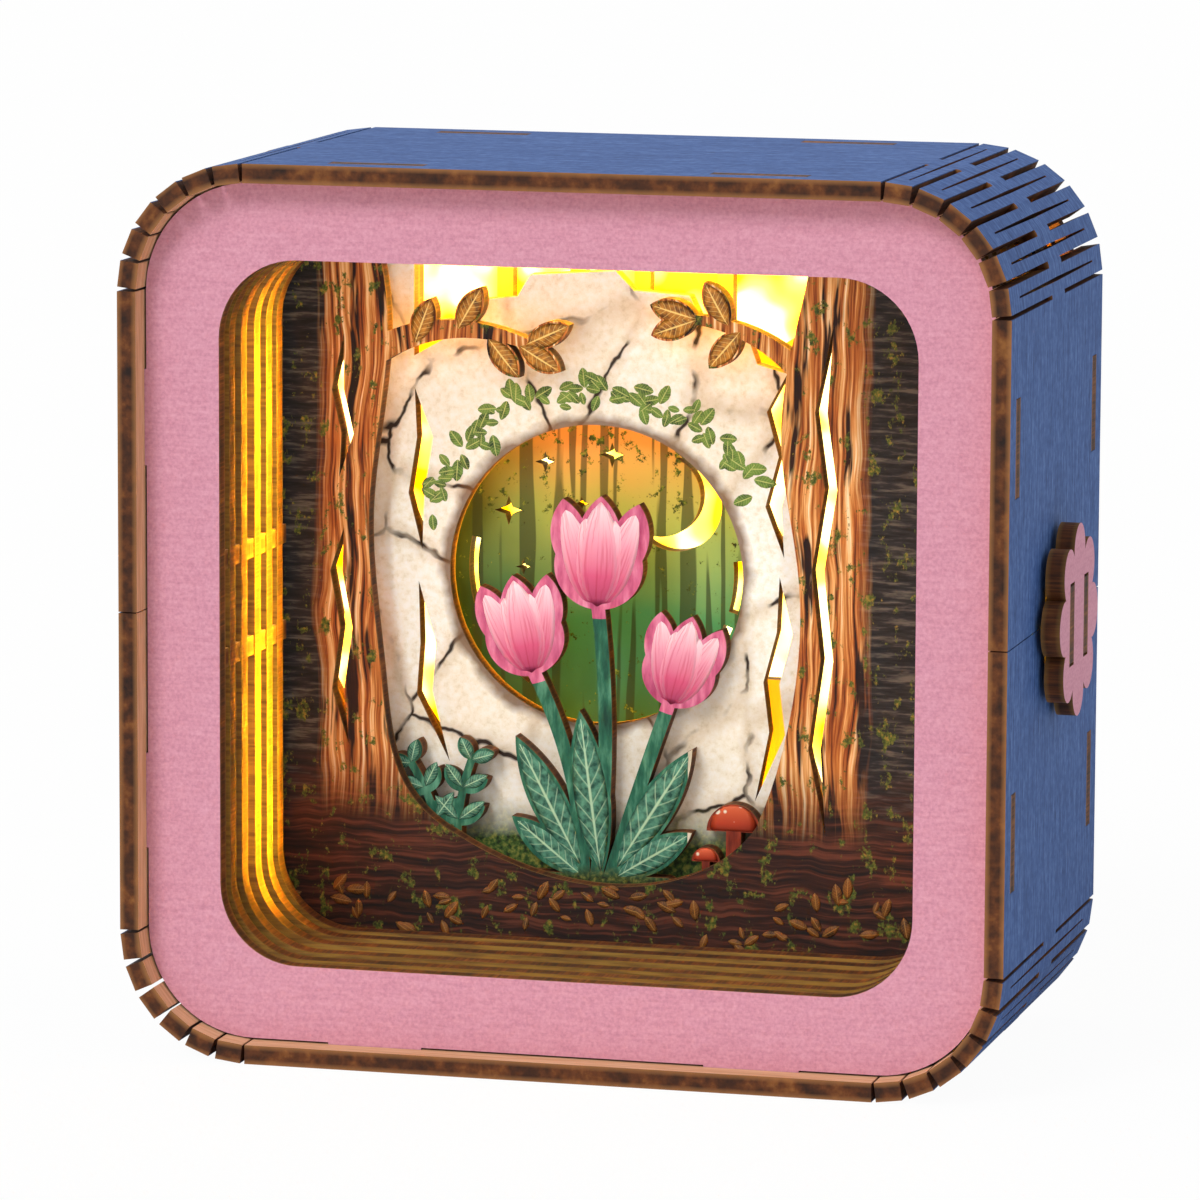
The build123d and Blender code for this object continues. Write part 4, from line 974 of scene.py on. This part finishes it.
STOCK = [
    ("black_moulded_abs", "#141416", "#26262a", (0.5,) * 3, 0.5, 0.0, ["battery_tray", "switch_housing"]),
    ("white_moulded_abs", "#dcdad2", "#efeee8", (0.5,) * 3, 0.4, 0.0, ["switch_slider"]),
    ("nickel_plated_steel", "#a9a9a6", "#cfcfca", (6, 6, 0.3), 0.3, 1.0, ["coin_cells", "cell_contacts"]),
    ("tinned_steel", "#b0aea6", "#d6d4cc", (0.4, 0.4, 2), 0.35, 1.0, ["solder_lugs", "switch_pins"]),
    ("nickel_magnet", "#9c9c9a", "#c4c4c2", (1, 1, 1), 0.22, 1.0, ["ledge_magnets", "door_magnets"]),
    ("black_pvc_sheath", "#101012", "#202024", (0.4,) * 3, 0.45, 0.0, LEADS),
]
for *look, wearers in STOCK:
    dress(stock_material(*look), *wearers)
print("still to dress:", [name for name, node in nodes.items() if len(node.data.materials) != 1])

# %% [markdown]
# The warm light that fills the box comes from the tapes. The chips alone would be slow to sample, so long
# soft lamps stand where the tapes are and shine the same way. Those between the rings have a narrow beam,
# so that they light the rings and leave the scene alone. Daylight falls into the window too, but a big
# studio lamp would bleach the pink panel, so three thin pale lamps just behind it shine into the scene.

# %% Lamps inside the case
WARM, PALE = linear("#ffd21f")[:3], linear("#fff7ec")[:3]
WIDE, WASH, NARROW = 170, 150, 12  # degrees
LAMP_REACH = 57  # mm from the middle to a lamp at the side
LAMP_LENGTH = 92
FRONT_AIR, MIDDLE_AIR, SCENE_AIR = -15.1, -8.6, 15.2  # Y in mm of the air between two boards
WINDOW_Y = -27.2  # mm, just behind the panel


def strip_lamp(name, place, turn, size, power, spread=WIDE, colour=WARM):
    """A long soft lamp at a place in millimetres, its turn and the spread of its beam in degrees."""
    lamp = bpy.data.lights.new(name, "AREA")
    lamp.shape = "RECTANGLE"
    lamp.size, lamp.size_y = (side * MM for side in size)
    lamp.color = colour
    lamp.energy = power
    lamp.spread = math.radians(spread)
    piece = place_object(name, lamp)
    piece.location = Vector(place) * MM + Vector((0, 0, HALF_HEIGHT * MM))
    piece.rotation_euler = [math.radians(angle) for angle in turn]


for side in (-1, 1):
    across, inwards = side * LAMP_REACH, (0, side * 90, 0)
    strip_lamp(f"front_glow_{side}", (across, FRONT_AIR, 0), inwards, (LAMP_LENGTH, 2.2), 0.05, NARROW)
    strip_lamp(f"middle_glow_{side}", (across, MIDDLE_AIR, 0), inwards, (LAMP_LENGTH, 2.0), 0.14, NARROW)
    strip_lamp(f"scene_glow_{side}", (across, SCENE_AIR, 10), inwards, (84, 2.0), 0.16)
    place, turn = (side * 49, WINDOW_Y, -4), (90, 0, side * 40)
    strip_lamp(f"window_wash_{side}", place, turn, (3, 84), 0.005, WASH, PALE)
strip_lamp("window_wash_top", (-3, WINDOW_Y, 50), (66, 0, 0), (84, 3), 0.01, WASH, PALE)
strip_lamp("scene_glow_top", (-3, SCENE_AIR, 59), (0, 0, 0), (70, 2.0), 0.18)
strip_lamp("scene_glow_floor", (4, SCENE_AIR, -57), (180, 0, 0), (60, 2.0), 0.22)
print("lamps inside:", len(bpy.data.lights))

# %% [markdown]
# The box stands on white paper. To the camera the paper is nearly all white light, as an overexposed
# studio table is, and to the box it is plain paper that throws light back up. A faint shadow stays.

# %% The table
TABLE_REACH = 3.0  # m
WHITE_PART = 0.96  # of what the camera sees of the paper
PAPER = [(0.3, "#f4f4f2"), (0.7, "#f7f7f5")]


def table():
    """A wide pale sheet under the object."""
    corners = [(x * TABLE_REACH, y * TABLE_REACH, 0) for x, y in ((-1, -1), (1, -1), (1, 1), (-1, 1))]
    mesh = bpy.data.meshes.new("table")
    mesh.from_pydata(corners, [], [(0, 1, 2, 3)])
    material, tree = new_material("white_paper")
    colour = mottled(tree, place_mm(tree), (40, 40, 40), PAPER)[0]
    paper = add_node(tree, "ShaderNodeBsdfDiffuse", {"Color": colour})
    white = add_node(tree, "ShaderNodeEmission", {"Color": (1, 1, 1, 1), "Strength": 1.0})
    seen = add_node(tree, "ShaderNodeLightPath", out="Is Camera Ray")
    part = add_node(tree, "ShaderNodeMath", {0: seen, 1: WHITE_PART}, operation="MULTIPLY")
    shader = add_node(tree, "ShaderNodeMixShader", {0: part, 1: paper, 2: white})
    add_node(tree, "ShaderNodeOutputMaterial", {"Surface": shader})
    mesh.materials.append(material)
    return place_object("table", mesh)


table()
print("table of", 2 * TABLE_REACH, "m")

# %% [markdown]
# A soft studio light falls from the front and the left. The world is white to the camera and dimmer as a
# light, so the background is clean and the colours of the print stay as they are written.

# %% World and studio light
WORLD_LIGHT = 0.55

world = bpy.data.worlds.new("white_studio")
bpy.context.scene.world = world
world.use_nodes = True
tree = world.node_tree
tree.nodes.clear()
rays = [f"Is {kind} Ray" for kind in ("Camera", "Glossy", "Transmission")]
camera_ray, glossy_ray, clear_ray = [add_node(tree, "ShaderNodeLightPath", out=ray) for ray in rays]
seen = add_node(tree, "ShaderNodeMath", {0: camera_ray, 1: glossy_ray}, operation="MAXIMUM")
seen = add_node(tree, "ShaderNodeMath", {0: seen, 1: clear_ray}, operation="MAXIMUM")
strength = add_node(tree, "ShaderNodeMapRange", {0: seen, 3: WORLD_LIGHT})
sky = add_node(tree, "ShaderNodeBackground", {"Color": (1, 1, 1, 1), "Strength": strength})
add_node(tree, "ShaderNodeOutputWorld", {"Surface": sky})
sun = bpy.data.lights.new("studio_key", "SUN")
sun.energy = 1.6
sun.angle = math.radians(25)
place_object("studio_key", sun).rotation_euler = [math.radians(angle) for angle in (50, 0, -24)]
bpy.context.scene.view_settings.view_transform = "Standard"
print("studio light is ready")

# %% [markdown]
# The camera stands a good metre away, a little to the right and above, and looks through a long lens, so
# the box shows its face, its right side and its top with little perspective. Its place and turn were
# fitted to the edges of the case.

# %% Camera
CAMERA_PLACE = (0.283337, -1.080033, 0.23620)  # m
YAW, PITCH, ROLL = 0.2587, -0.1479, 0.0047  # radians

camera_data = bpy.data.cameras.new("view")
camera_data.lens = 216.118
camera_data.sensor_width = 36.0
camera_data.clip_end = 20.0
camera = place_object("view", camera_data)
turned = Matrix.Rotation(YAW, 4, "Z") @ Matrix.Rotation(math.pi / 2 + PITCH, 4, "X")
camera.matrix_world = Matrix.Translation(CAMERA_PLACE) @ turned @ Matrix.Rotation(ROLL, 4, "Z")
bpy.context.scene.camera = camera
print("camera at", [round(c, 3) for c in camera.location])
